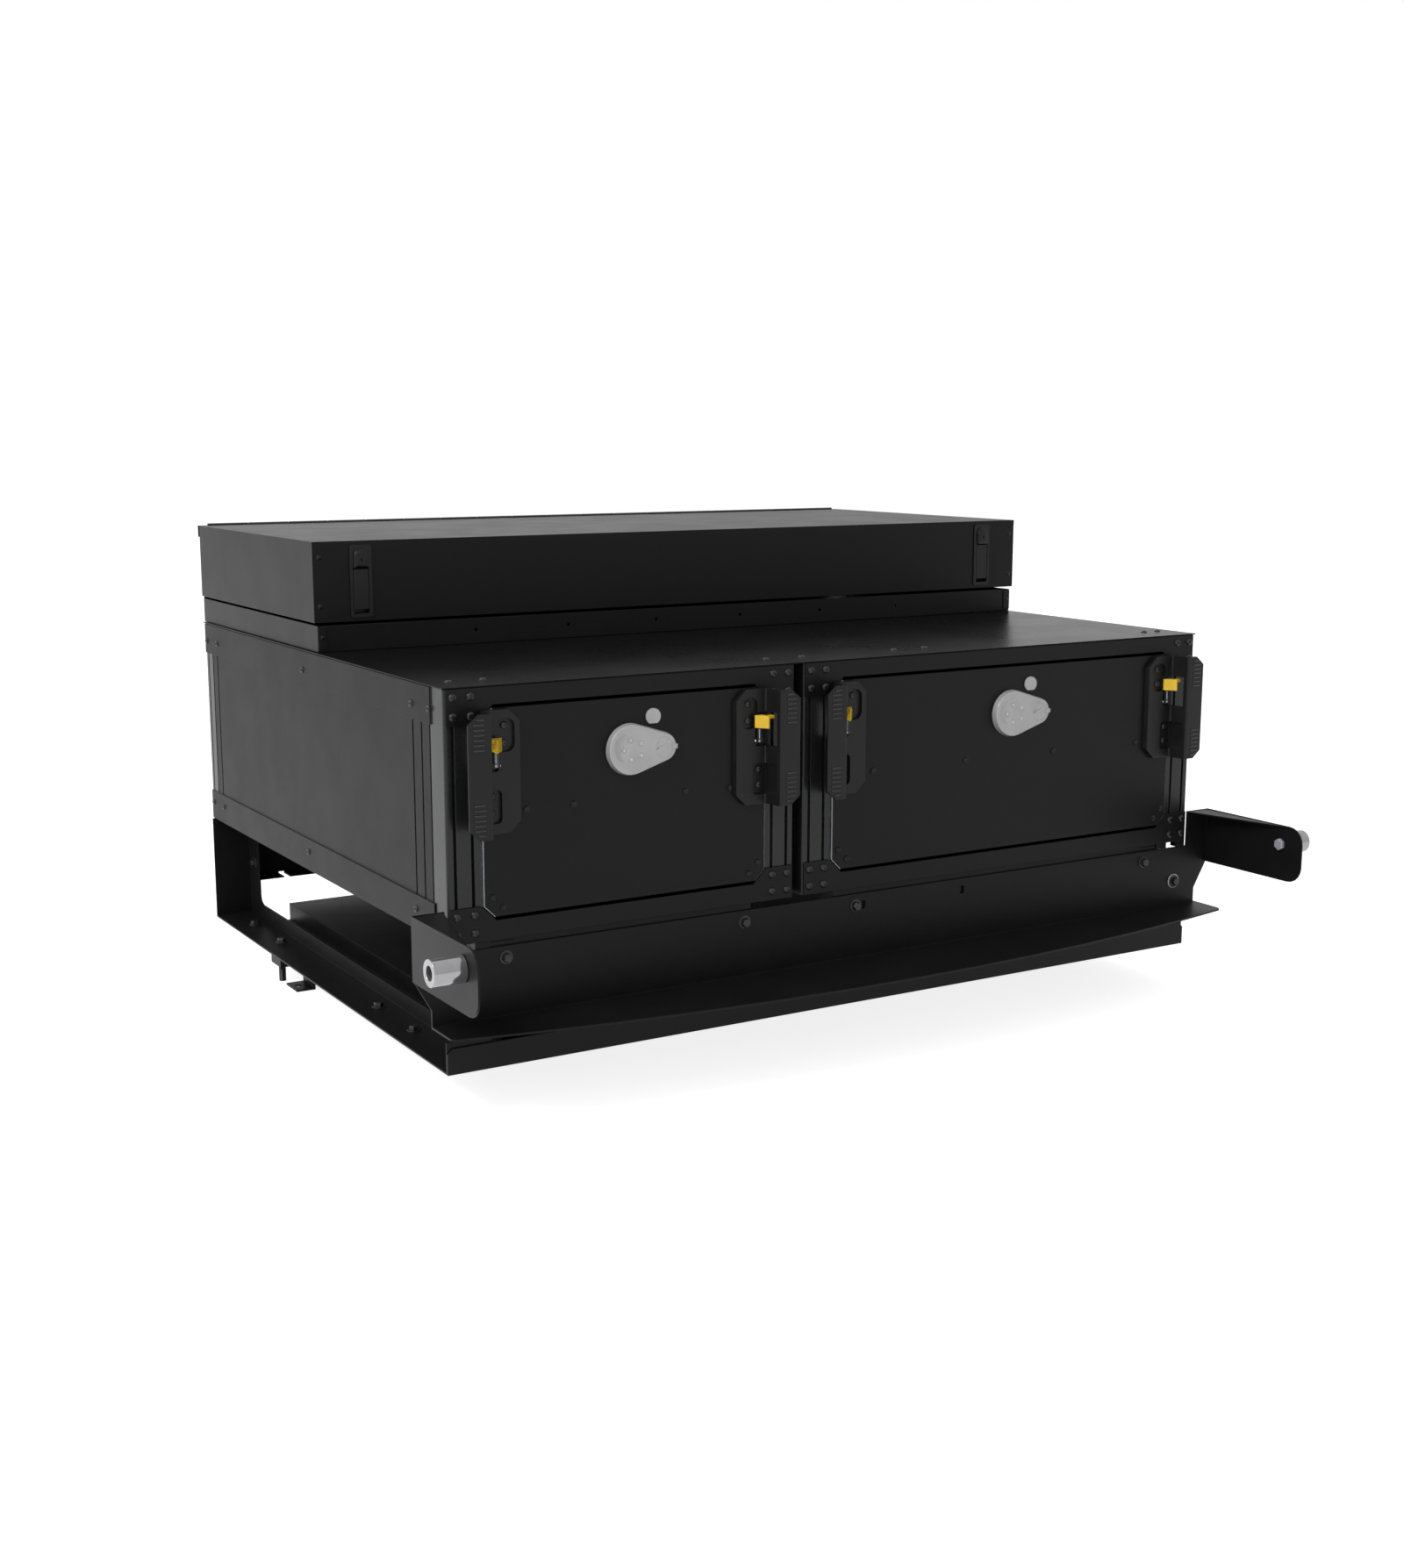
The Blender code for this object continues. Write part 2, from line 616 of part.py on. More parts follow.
def make_side_frame(module, name):
    """One side of a module: two slotted columns with their panel, two strips and the outer slide bar."""
    side, inward = (module.left, 1) if name == "left" else (module.right, -1)
    front = column_outline(FRONT_COLUMN_DEPTH, FRONT_SIDE_SLOT_INSETS)
    rear = [(u, CABINET_DEPTH - v) for u, v in column_outline(REAR_COLUMN_DEPTH, REAR_SIDE_SLOT_INSETS)]
    plan = [(side + inward * u, FRONT + v) for u, v in front + list(reversed(rear))]
    frame = node(f"side_frame_{module.name}_{name}", prism("XY", plan, BOTTOM, FRAME_TOP), COLUMN_BLACK, 0.25)
    strip = sorted((side - inward * SHEET, side + inward * SHEET / 2))
    for low in (BOTTOM + FOLD_STEP, FRAME_TOP - SIDE_RAIL_HEIGHT):
        combine(frame, box((strip[0], FRONT + SIDE_RAIL_FRONT_INSET, low),
                           (strip[1], FRONT + CABINET_DEPTH - SIDE_RAIL_REAR_INSET,
                            low + SIDE_RAIL_HEIGHT - FOLD_STEP)), "UNION")
    outer = slide_sections()[0]
    combine(frame, slide_bar(side + inward * COLUMN_WIDTH, inward, outer), "UNION")


def face_rail_outline(module, edge, inner, gusset):
    """A front strip with a gusset at each end; heights run from its outer edge inwards."""
    left, right = module.left + FACE_RAIL_INSET, module.right - FACE_RAIL_INSET
    flat = GUSSET_WIDTH
    run = GUSSET_WIDTH + GUSSET_RUN
    return [(left, edge), (right, edge), (right, gusset), (right - flat, gusset), (right - run, inner),
            (left + run, inner), (left + flat, gusset), (left, gusset)]


def make_face_rails(module):
    """The two bent strips that frame a drawer's front, each with a lip between the columns."""
    left, right = module.opening
    for name, edge, inner, gusset, lip in (
            ("top", FRAME_TOP, FRAME_TOP - TOP_FACE_RAIL_HEIGHT, FRAME_TOP - GUSSET_HEIGHT,
             (FRAME_TOP - SHEET, FRAME_TOP)),
            ("bottom", BOTTOM, BOTTOM + BOTTOM_FACE_RAIL_HEIGHT, BOTTOM + GUSSET_HEIGHT,
             (BOTTOM, BOTTOM + SHEET))):
        rail = node(f"face_rail_{module.name}_{name}",
                    prism("XZ", face_rail_outline(module, edge, inner, gusset), FACE_FRONT, FACE_FRONT + SHEET),
                    STEEL_BLACK, 0.45)
        combine(rail, box((left + SEAT_GAP, FACE_FRONT + SHEET / 2, lip[0]),
                          (right - SEAT_GAP, FRONT + FACE_RAIL_LIP, lip[1])), "UNION")


def make_panels():
    """The back and bottom panels of both modules, and the one top sheet."""
    front = FRONT + FRONT_COLUMN_DEPTH + SEAT_GAP
    rear = FRONT + CABINET_DEPTH - REAR_COLUMN_DEPTH - SEAT_GAP
    back = FRONT + CABINET_DEPTH + SEAT_GAP
    for module in MODULES:
        left, right = module.opening
        left, right = left + SEAT_GAP, right - SEAT_GAP
        node(f"back_panel_{module.name}",
             box((module.left + FACE_RAIL_INSET, back, BOTTOM), (module.right - FACE_RAIL_INSET, back + SHEET,
                                                                 FRAME_TOP)), STEEL_BLACK, 0.5)
        inner = SHEET + SEAT_GAP
        end = FRONT + CABINET_DEPTH
        outline = [(left, FRONT), (right, FRONT), (right, front), (module.right - inner, front),
                   (module.right - inner, rear), (right, rear), (right, end), (left, end), (left, rear),
                   (module.left + inner, rear), (module.left + inner, front), (left, front)]
        floor = BOTTOM + SHEET + SEAT_GAP
        node(f"bottom_panel_{module.name}", prism("XY", outline, floor, floor + SHEET), STEEL_BLACK, 0.5)
    node("top_sheet", box((LEFT - SHEET, FACE_FRONT, TOP - TOP_SHEET),
                          (RIGHT + SHEET, back + SHEET, TOP)), STEEL_BLACK, 0.35)


# Slides and drawers


def slide_section(back, web, flange_end, half_height):
    """A C section: u from its back towards its flange ends, v up from the slide's middle."""
    steel = SLIDE_STEEL
    return [(back, -half_height), (flange_end, -half_height), (flange_end, -half_height + steel),
            (web, -half_height + steel), (web, half_height - steel), (flange_end, half_height - steel),
            (flange_end, half_height), (back, half_height)]


def slide_sections():
    """The three nested sections of a slide, as outer, middle and inner, u from the cabinet wall."""
    outer_half = SLIDE_HEIGHT / 2
    middle_half = outer_half - SLIDE_STEEL - RUNNING_GAP
    inner_half = middle_half - SLIDE_STEEL - RUNNING_GAP
    outer = slide_section(-SLIDE_STEEL / 2, SLIDE_STEEL, SLIDE_DEPTH - SLIDE_FLANGE_STOP, outer_half)
    middle_web = SLIDE_MIDDLE_INSET + SLIDE_STEEL
    middle = slide_section(SLIDE_MIDDLE_INSET, middle_web, SLIDE_DEPTH - SLIDE_STEEL - RUNNING_GAP, middle_half)
    inner = slide_section(-BOX_WALL / 2, SLIDE_STEEL, SLIDE_DEPTH - middle_web - RUNNING_GAP, inner_half)
    return outer, middle, [(SLIDE_DEPTH - u, v) for u, v in reversed(inner)]


def slide_bar(wall, inward, section):
    """One slide section as a solid along Y, on the cabinet wall at x = wall."""
    outline = [(wall + inward * u, BOTTOM + SLIDE_RISE + v) for u, v in section]
    return prism("XZ", outline, FRONT + SLIDE_FRONT_INSET, FRONT + CABINET_DEPTH - SLIDE_REAR_INSET)


def make_slide_middles(module):
    """The middle bars of a drawer's two telescopic slides."""
    middle = slide_sections()[1]
    for name, wall, inward in (("left", module.opening[0], 1), ("right", module.opening[1], -1)):
        node(f"slide_middle_{module.name}_{name}", slide_bar(wall, inward, middle), ZINC, 0.35, 0.9,
             (wall, FRONT, BOTTOM + SLIDE_RISE))


def face_edges(module):
    """Left, right, bottom and top of a drawer's front panel."""
    left, right = module.opening
    return (left + FACE_SIDE_GAP, right - FACE_SIDE_GAP,
            BOTTOM + BOTTOM_FACE_RAIL_HEIGHT + FACE_BOTTOM_GAP,
            FRAME_TOP - TOP_FACE_RAIL_HEIGHT - FACE_TOP_GAP)


def face_corner_cut(module, rail_height, edge_gap):
    """Run and rise of a front panel's corner cut, which keeps its gap to the frame's gusset."""
    rise_all = GUSSET_HEIGHT - rail_height
    slope = rise_all / GUSSET_RUN
    offset = FACE_CORNER_GAP * math.hypot(1, slope)
    start = COLUMN_WIDTH + FACE_SIDE_GAP - FACE_RAIL_INSET - GUSSET_WIDTH
    height_at_edge = GUSSET_HEIGHT - slope * start + offset
    rise = height_at_edge - rail_height - edge_gap
    return rise / slope, rise


def face_outline(module):
    """A drawer's front panel with its four corners cut along the frame's gussets."""
    left, right, low, high = face_edges(module)
    run_low, rise_low = face_corner_cut(module, BOTTOM_FACE_RAIL_HEIGHT, FACE_BOTTOM_GAP)
    run_high, rise_high = face_corner_cut(module, TOP_FACE_RAIL_HEIGHT, FACE_TOP_GAP)
    return [(left + run_low, low), (right - run_low, low), (right, low + rise_low), (right, high - rise_high),
            (right - run_high, high), (left + run_high, high), (left, high - rise_high), (left, low + rise_low)]


def button_places(module):
    """x and z of a lock's push buttons, on a ring."""
    centre_x = module.middle + LOCK_DISH_SHIFT
    centre_z = BOTTOM + LOCK_RISE
    places = []
    for index in range(BUTTON_COUNT):
        angle = 2 * math.pi * (index + 0.5) / BUTTON_COUNT
        places.append((centre_x + BUTTON_RING * math.cos(angle), centre_z + BUTTON_RING * math.sin(angle)))
    return places


def make_drawer(module):
    """A drawer's front panel with its cap, and its folded sheet box with the inner slide bars."""
    pivot = (module.middle, FACE_FRONT, BOTTOM)
    face = node(f"drawer_face_{module.name}", prism("XZ", face_outline(module), FACE_FRONT, FACE_BACK),
                STEEL_BLACK, 0.5, 0.0, pivot)
    cap_x, cap_z = module.middle + CAP_OFFSET, BOTTOM + CAP_RISE
    start = -math.asin(CAP_FLAT_SHARE)
    turn = math.pi - 2 * start
    cap = [(cap_x + CAP_RADIUS * math.cos(start + turn * step / CAP_SIDES),
            cap_z + CAP_RADIUS * math.sin(start + turn * step / CAP_SIDES)) for step in range(CAP_SIDES + 1)]
    combine(face, prism("XZ", cap, FACE_FRONT - CAP_THICKNESS, FACE_FRONT + FACE_THICKNESS / 2), "UNION")
    left, right = module.opening
    _, _, low, high = face_edges(module)
    box_low = (left + SLIDE_DEPTH, FACE_BACK + SEAT_GAP, low + BOX_BOTTOM_RISE)
    box_high = (right - SLIDE_DEPTH, FRONT + CABINET_DEPTH - BOX_REAR_GAP, high - BOX_TOP_DROP)
    body = node(f"drawer_box_{module.name}", shell(box_low, box_high, BOX_WALL, ("+Z",)),
                STEEL_BLACK, 0.5, 0.0, pivot)
    for near, far in ((box_low[0] + BOX_WALL / 2, box_low[0] + BOX_RIM),
                      (box_high[0] - BOX_RIM, box_high[0] - BOX_WALL / 2)):
        combine(body, box((near, box_low[1] + BOX_WALL / 2, box_high[2] - BOX_WALL),
                          (far, box_high[1] - BOX_WALL / 2, box_high[2])), "UNION")
    inner = slide_sections()[2]
    for wall, inward in ((left, 1), (right, -1)):
        combine(body, slide_bar(wall, inward, inner), "UNION")


# Grips and triggers


def grip_plan():
    """A grip in plan: u from the wing's free edge inwards, v outwards from the drawer face."""
    wing, stand, wall = GRIP_WING_WIDTH, GRIP_STANDOFF, GRIP_WALL
    foot = wing + GRIP_RISER_LEAN
    points = [(0, stand - wall), (wing - wall, stand - wall), (foot - wall, SEAT_GAP), (GRIP_REACH, SEAT_GAP),
              (GRIP_REACH - GRIP_BASE / 4, GRIP_BASE), (foot, GRIP_BASE), (wing, stand), (0, stand)]
    radii = (GRIP_BEND / 3, GRIP_BEND / 2, 0, 0, GRIP_BEND / 3, GRIP_BEND, GRIP_BEND, GRIP_BEND / 2)
    return rounded(points, radii, 2)


def grip_front():
    """A grip's outline seen from the front: u as in plan, v up from its lower edge."""
    cut, rise, base = GRIP_WING_CHAMFER, GRIP_WING_CHAMFER_HEIGHT, GRIP_BASE_CHAMFER
    return [(0, rise), (cut, 0), (GRIP_REACH - base, 0), (GRIP_REACH, base), (GRIP_REACH, GRIP_HEIGHT - base),
            (GRIP_REACH - base, GRIP_HEIGHT), (cut, GRIP_HEIGHT), (0, GRIP_HEIGHT - rise)]


def rib_span(rise):
    """A rib's two ends on the wing at a height, kept clear of the wing's corner cuts."""
    height = min(rise, GRIP_HEIGHT - rise) - RIB_WIDTH / 2
    shortfall = max(0, GRIP_WING_CHAMFER_HEIGHT - height)
    start = max(RIB_INSET, GRIP_WING_CHAMFER * shortfall / GRIP_WING_CHAMFER_HEIGHT + RIB_EDGE)
    return start, RIB_INSET + RIB_LENGTH


@dataclass(frozen=True)
class GripPlace:
    """Where a grip sits: the x of its wing's free edge and the way inwards."""

    module: Module
    side: str

    @property
    def inward(self):
        """+1 where inwards is +X."""
        return 1 if self.side == "left" else -1

    @property
    def edge(self):
        """x of the wing's free edge."""
        if self.side == "left":
            return self.module.left + GRIP_OUTER_INSET
        return self.module.right - GRIP_OUTER_INSET

    @property
    def name(self):
        """The grip's part of its nodes' names."""
        return f"{self.module.name}_{self.side}"

    def x(self, u):
        """World x of a distance in from the wing's free edge."""
        return self.edge + self.inward * u

    def plan(self, points):
        """World (x, y) of points in the grip's plan."""
        return [(self.x(u), FACE_FRONT - v) for u, v in points]

    def front(self, points):
        """World (x, z) of points in the grip's front view."""
        return [(self.x(u), BOTTOM + GRIP_BOTTOM + v) for u, v in points]

    def block(self, low, high):
        """A box between two (u, v, rise) corners."""
        xs = sorted((self.x(low[0]), self.x(high[0])))
        base = BOTTOM + GRIP_BOTTOM
        return box((xs[0], FACE_FRONT - high[1], base + low[2]), (xs[1], FACE_FRONT - low[1], base + high[2]))


GRIPS = tuple(GripPlace(module, side) for module in MODULES for side in ("left", "right"))


def riser_cut(place, outline):
    """A cutter that follows the riser's lean, from the pocket floor out to the wing's bend."""
    high = FACE_FRONT - GRIP_FLOOR
    low = FACE_FRONT - GRIP_STANDOFF + GRIP_WALL + GRIP_BEND
    builder = bmesh.new()
    builder.from_mesh(prism("XZ", place.front(outline), low, high))
    for vertex in builder.verts:
        outward = (FACE_FRONT - vertex.co.y) / GRIP_STANDOFF
        vertex.co.x -= place.inward * GRIP_RISER_LEAN * outward
    return finished(builder)


def make_grip(place):
    """A bent grip: ribbed wing, windowed riser, and a base plate with two pockets and a pin fork."""
    base_z = BOTTOM + GRIP_BOTTOM
    solid = prism("XY", place.plan(grip_plan()), base_z, base_z + GRIP_HEIGHT)
    grip = node(f"grip_{place.name}", solid, PLASTIC_BLACK, 0.4, 0.0, (place.edge, FACE_FRONT, base_z))
    combine(grip, prism("XZ", place.front(grip_front()), FACE_FRONT - GRIP_STANDOFF - OVERRUN,
                        FACE_FRONT + OVERRUN), "INTERSECT")
    ribs = []
    for index in range(RIB_COUNT):
        for rise in (RIB_END_INSET + index * RIB_PITCH, GRIP_HEIGHT - RIB_END_INSET - index * RIB_PITCH):
            start, end = rib_span(rise)
            ribs.append(place.block((start, GRIP_STANDOFF - RIB_HEIGHT, rise - RIB_WIDTH / 2),
                                    (end, GRIP_STANDOFF + RIB_HEIGHT, rise + RIB_WIDTH / 2)))
    combine(grip, joined(ribs), "UNION")
    foot = GRIP_WING_WIDTH + GRIP_RISER_LEAN
    upper = rounded(rectangle(GRIP_UPPER_POCKET_INSET, GRIP_UPPER_POCKET_RISE,
                              GRIP_UPPER_POCKET_INSET + GRIP_POCKET_WIDTH,
                              GRIP_UPPER_POCKET_RISE + GRIP_POCKET_HEIGHT), GRIP_POCKET_RADIUS, 3)
    lower = rounded(rectangle(foot - GRIP_WALL + GRIP_RISER_SKIN, GRIP_LOWER_POCKET_RISE, GRIP_LOWER_POCKET_END,
                              GRIP_LOWER_POCKET_RISE + GRIP_POCKET_HEIGHT), GRIP_POCKET_RADIUS / 2, 2)
    window = rounded(rectangle(foot - GRIP_WALL - OVERRUN, GRIP_WINDOW_RISE, GRIP_WINDOW_END,
                               GRIP_WINDOW_RISE + GRIP_WINDOW_HEIGHT), GRIP_WINDOW_RADIUS, 2)
    combine(grip, prism("XZ", place.front(upper), FACE_FRONT - GRIP_BASE - OVERRUN, FACE_FRONT - GRIP_FLOOR),
            "DIFFERENCE")
    combine(grip, riser_cut(place, lower), "DIFFERENCE")
    combine(grip, riser_cut(place, window), "DIFFERENCE")
    pin = trigger_pin(place)
    half = TRIGGER_ARM / 2 + RUNNING_GAP
    outer = half + PIVOT_EAR
    tip = pin[1] - PIVOT_RADIUS
    seat = FACE_FRONT - GRIP_FLOOR
    fork = [(-outer, seat + GRIP_FLOOR / 2), (outer, seat + GRIP_FLOOR / 2), (outer, tip), (half, tip),
            (half, seat - SEAT_GAP), (-half, seat - SEAT_GAP), (-half, tip), (-outer, tip)]
    combine(grip, prism("XY", [(pin[0] + u, y) for u, y in fork], pin[2] - PIVOT_RADIUS, pin[2] + PIVOT_RADIUS),
            "UNION")
    reach = outer - PIVOT_EAR / 2
    combine(grip, cylinder("X", pin, pin[0] - reach, pin[0] + reach, PIVOT_PIN_RADIUS, 12), "UNION")


def trigger_near():
    """A trigger's side next to the riser, in from the wing's free edge."""
    return GRIP_WING_WIDTH + GRIP_RISER_LEAN + TRIGGER_GAP


def trigger_pin(place):
    """x, y and z of a trigger's pin axis."""
    return (place.x(trigger_near() + PIVOT_INSET), FACE_FRONT - PIVOT_STANDOFF,
            BOTTOM + GRIP_BOTTOM + TRIGGER_RISE - PIVOT_DROP)


def make_trigger(place):
    """A wedge-faced trigger with its tab through the riser's window, an arm and a pierced eye."""
    near, back = trigger_near(), TRIGGER_STANDOFF
    far, front = near + TRIGGER_WIDTH, back + TRIGGER_DEPTH
    base, top = BOTTOM + GRIP_BOTTOM, TRIGGER_RISE + TRIGGER_HEIGHT
    pin = trigger_pin(place)
    plan = [(near, back), (far, back), (far, back + TRIGGER_EDGE), (near + TRIGGER_NOSE, front), (near, front)]
    trigger = node(f"trigger_{place.name}", prism("XY", place.plan(plan), base + TRIGGER_RISE, base + top),
                   YELLOW, 0.45, 0.0, pin)
    tab_back = back + TRIGGER_TAB_SETBACK
    combine(trigger, place.block((TRIGGER_TAB_TIP, tab_back, top - TRIGGER_TAB_HEIGHT),
                                 (near + TRIGGER_NOSE, tab_back + TRIGGER_TAB_DEPTH, top - FOLD_STEP)), "UNION")
    half = TRIGGER_ARM / 2
    middle = near + PIVOT_INSET
    combine(trigger, place.block((middle - half, PIVOT_STANDOFF - half, TRIGGER_RISE - PIVOT_DROP),
                                 (middle + half, PIVOT_STANDOFF + half, TRIGGER_RISE + TRIGGER_ARM)), "UNION")
    combine(trigger, cylinder("X", pin, pin[0] - half, pin[0] + half, PIVOT_RADIUS, 12), "UNION")
    combine(trigger, cylinder("X", pin, pin[0] - TRIGGER_ARM, pin[0] + TRIGGER_ARM,
                              PIVOT_PIN_RADIUS + SEAT_GAP, 12), "DIFFERENCE")


# Locks


def teardrop(centre, grow=0.0, steps=14):
    """A lock's outline: a large and a small round end with straight flanks."""
    big, small = LOCK_BIG_RADIUS + grow, LOCK_SMALL_RADIUS + grow
    lean = math.acos((big - small) / LOCK_SPAN)
    points = []
    for step in range(steps + 1):
        angle = lean + (2 * math.pi - 2 * lean) * step / steps
        points.append((centre[0] + big * math.cos(angle), centre[1] + big * math.sin(angle)))
    half = steps // 2
    for step in range(half + 1):
        angle = -lean + 2 * lean * step / half
        points.append((centre[0] + LOCK_SPAN + small * math.cos(angle), centre[1] + small * math.sin(angle)))
    return points


def make_lock(module):
    """A push-button lock: stepped housing, dished button field, five buttons and a turn lever."""
    centre = (module.middle, BOTTOM + LOCK_RISE)
    seat = FACE_FRONT - SEAT_GAP
    outer = seat - LOCK_THICKNESS
    rim = prism("XZ", teardrop(centre, LOCK_RIM), seat - LOCK_RIM_THICKNESS, seat)
    lock = node(f"lock_{module.name}", rim, SATIN_SILVER, 0.35, 0.3, (centre[0], seat, centre[1]))
    combine(lock, prism("XZ", teardrop(centre), outer, seat - LOCK_RIM_THICKNESS / 2), "UNION")
    dish = (centre[0] + LOCK_DISH_SHIFT, 0, centre[1])
    dish_floor = outer + LOCK_DISH_DEPTH
    slope = (LOCK_DISH_RADIUS - LOCK_DISH_FLOOR_RADIUS) / LOCK_DISH_DEPTH
    combine(lock, cylinder("Y", dish, outer - OVERRUN, dish_floor, LOCK_DISH_RADIUS + slope * OVERRUN, 32,
                           LOCK_DISH_FLOOR_RADIUS), "DIFFERENCE")
    wells = [cylinder("Y", (x, 0, z), dish_floor - OVERRUN, dish_floor + BUTTON_WELL, BUTTON_RADIUS + SEAT_GAP,
                      BUTTON_SIDES)
             for x, z in button_places(module)]
    combine(lock, joined(wells), "DIFFERENCE")
    for number, (x, z) in enumerate(button_places(module), 1):
        stand = dish_floor - BUTTON_STAND
        shank = dish_floor + BUTTON_WELL - BUTTON_TRAVEL - SEAT_GAP
        button = node(f"button_{module.name}_{number}",
                      turned("Y", (x, 0, z), ((stand, BUTTON_RADIUS * BUTTON_TOP_SHARE),
                                              (dish_floor, BUTTON_RADIUS), (shank, BUTTON_RADIUS)), BUTTON_SIDES),
                      SATIN_SILVER, 0.3, 0.3, (x, stand, z))
    pivot = lever_pivot(module)
    back = pivot[1] + LEVER_THICKNESS
    combine(lock, cylinder("Y", pivot, outer - OVERRUN, back + SEAT_GAP, LEVER_RADIUS + SEAT_GAP, 28),
            "DIFFERENCE")
    lever = node(f"lock_lever_{module.name}", cylinder("Y", pivot, pivot[1], back, LEVER_RADIUS, 28),
                 SATIN_SILVER, 0.3, 0.4, pivot)
    half = LEVER_BAR_WIDTH / 2
    bar = rounded([(pivot[0] - half * 2, pivot[2] - half / 2), (pivot[0] + LEVER_BAR_REACH, pivot[2] - half),
                   (pivot[0] + LEVER_BAR_REACH, pivot[2] + half), (pivot[0] - half * 2, pivot[2] + half / 2)],
                  (0, half / 3, half / 3, 0), 2)
    combine(lever, prism("XZ", bar, pivot[1] - LEVER_BAR_HEIGHT, outer - SEAT_GAP), "UNION")


def lever_pivot(module):
    """x, y and z of a lock lever's axis, at the lever's outer face."""
    outer = FACE_FRONT - SEAT_GAP - LOCK_THICKNESS
    return (module.middle + LOCK_SPAN, outer - LEVER_PROUD, BOTTOM + LOCK_RISE)


# Top box


def lid_sides():
    """Left and right x of the lid."""
    return LEFT - LID_SIDE_OVERHANG, RIGHT + LID_SIDE_OVERHANG


def hinge_axis():
    """y and z of the lid's hinge."""
    return (FRONT + LID_REAR + HINGE_CLEAR + HINGE_RADIUS, BOTTOM + LID_TOP + HINGE_RADIUS / 3)


def latch_places():
    """Name and x of each latch."""
    left, right = lid_sides()
    return (("left", left + LATCH_INSET), ("right", right - LATCH_INSET))


def make_tray():
    """The tray under the lid: floor, low front and sides, high back with an ear at each end."""
    left, right = lid_sides()
    low_x, high_x = left + TRAY_SIDE_INSET, right - TRAY_SIDE_INSET
    floor, rim = TOP + SEAT_GAP, BOTTOM + TRAY_TOP
    front, rear = FRONT + LID_FRONT + TRAY_FRONT_INSET, FRONT + TRAY_REAR
    solid = shell((low_x, front, floor), (high_x, rear - FOLD_STEP, rim), BOX_SHEET, ("+Z",))
    tray = node("tray", solid, STEEL_BLACK, 0.45)
    top = BOTTOM + TRAY_BACK_TOP
    step = top - LID_REAR_FLANGE
    foot, relief = floor + BOX_SHEET / 2, step - FOLD_STEP
    near, far = low_x + FOLD_STEP, high_x - FOLD_STEP
    back = [(near, foot), (far, foot), (far, relief), (right, step), (right, top), (left, top),
            (left, step), (near, relief)]
    combine(tray, prism("XZ", back, rear - BOX_SHEET, rear), "UNION")
    for near, far in ((low_x + FOLD_STEP, low_x + TAB_WIDTH), (high_x - TAB_WIDTH, high_x - FOLD_STEP)):
        combine(tray, box((near, front - TAB_THICKNESS, floor + BOX_SHEET * 2),
                          (far, front + BOX_SHEET / 2, rim - BOX_SHEET)), "UNION")
    start = -STRIP_HOLE_PITCH * (STRIP_HOLE_COUNT - 1) / 2
    holes = [cylinder("Y", (start + STRIP_HOLE_PITCH * index, 0, rim - STRIP_HOLE_DROP),
                      front - OVERRUN, front + BOX_SHEET + OVERRUN, STRIP_HOLE_RADIUS, 10)
             for index in range(STRIP_HOLE_COUNT)]
    combine(tray, joined(holes), "DIFFERENCE")


def make_lid():
    """The lid: top, front and sides, a short rear flange, and two cut-outs for the latches."""
    left, right = lid_sides()
    y_axis, z_axis = hinge_axis()
    pivot = (0, y_axis, z_axis)
    front, rear = FRONT + LID_FRONT, FRONT + LID_REAR
    low, high = BOTTOM + LID_BOTTOM, BOTTOM + LID_TOP
    lid = node("lid", shell((left, front, low), (right, rear, high), BOX_SHEET, ("-Z",)),
               STEEL_BLACK, 0.4, 0.0, pivot)
    combine(lid, box((left + BOX_SHEET, rear - BOX_SHEET - OVERRUN, low - OVERRUN),
                     (right - BOX_SHEET, rear + OVERRUN, high - LID_REAR_FLANGE)), "DIFFERENCE")
    middle = (low + high) / 2
    half_width = LATCH_BODY_WIDTH / 2 + SEAT_GAP
    half_height = LATCH_HEIGHT / 2 - LATCH_CORNER + SEAT_GAP
    for _, x in latch_places():
        combine(lid, box((x - half_width, front - OVERRUN, middle - half_height),
                         (x + half_width, front + BOX_SHEET + OVERRUN, middle + half_height)), "DIFFERENCE")


def hinge_comb(left, right, low, high, tongue_top, first):
    """A hinge leaf's outline with a tongue up to each of its own knuckles."""
    pitch = (right - left) / HINGE_KNUCKLES
    points = [(left, low), (right, low), (right, high)]
    for index in reversed(range(HINGE_KNUCKLES)):
        if index % 2 != first:
            continue
        start, end = left + pitch * index + HINGE_KNUCKLE_GAP, left + pitch * (index + 1) - HINGE_KNUCKLE_GAP
        points += [(end, high), (end, tongue_top), (start, tongue_top), (start, high)]
    points.append((left, high))
    return points


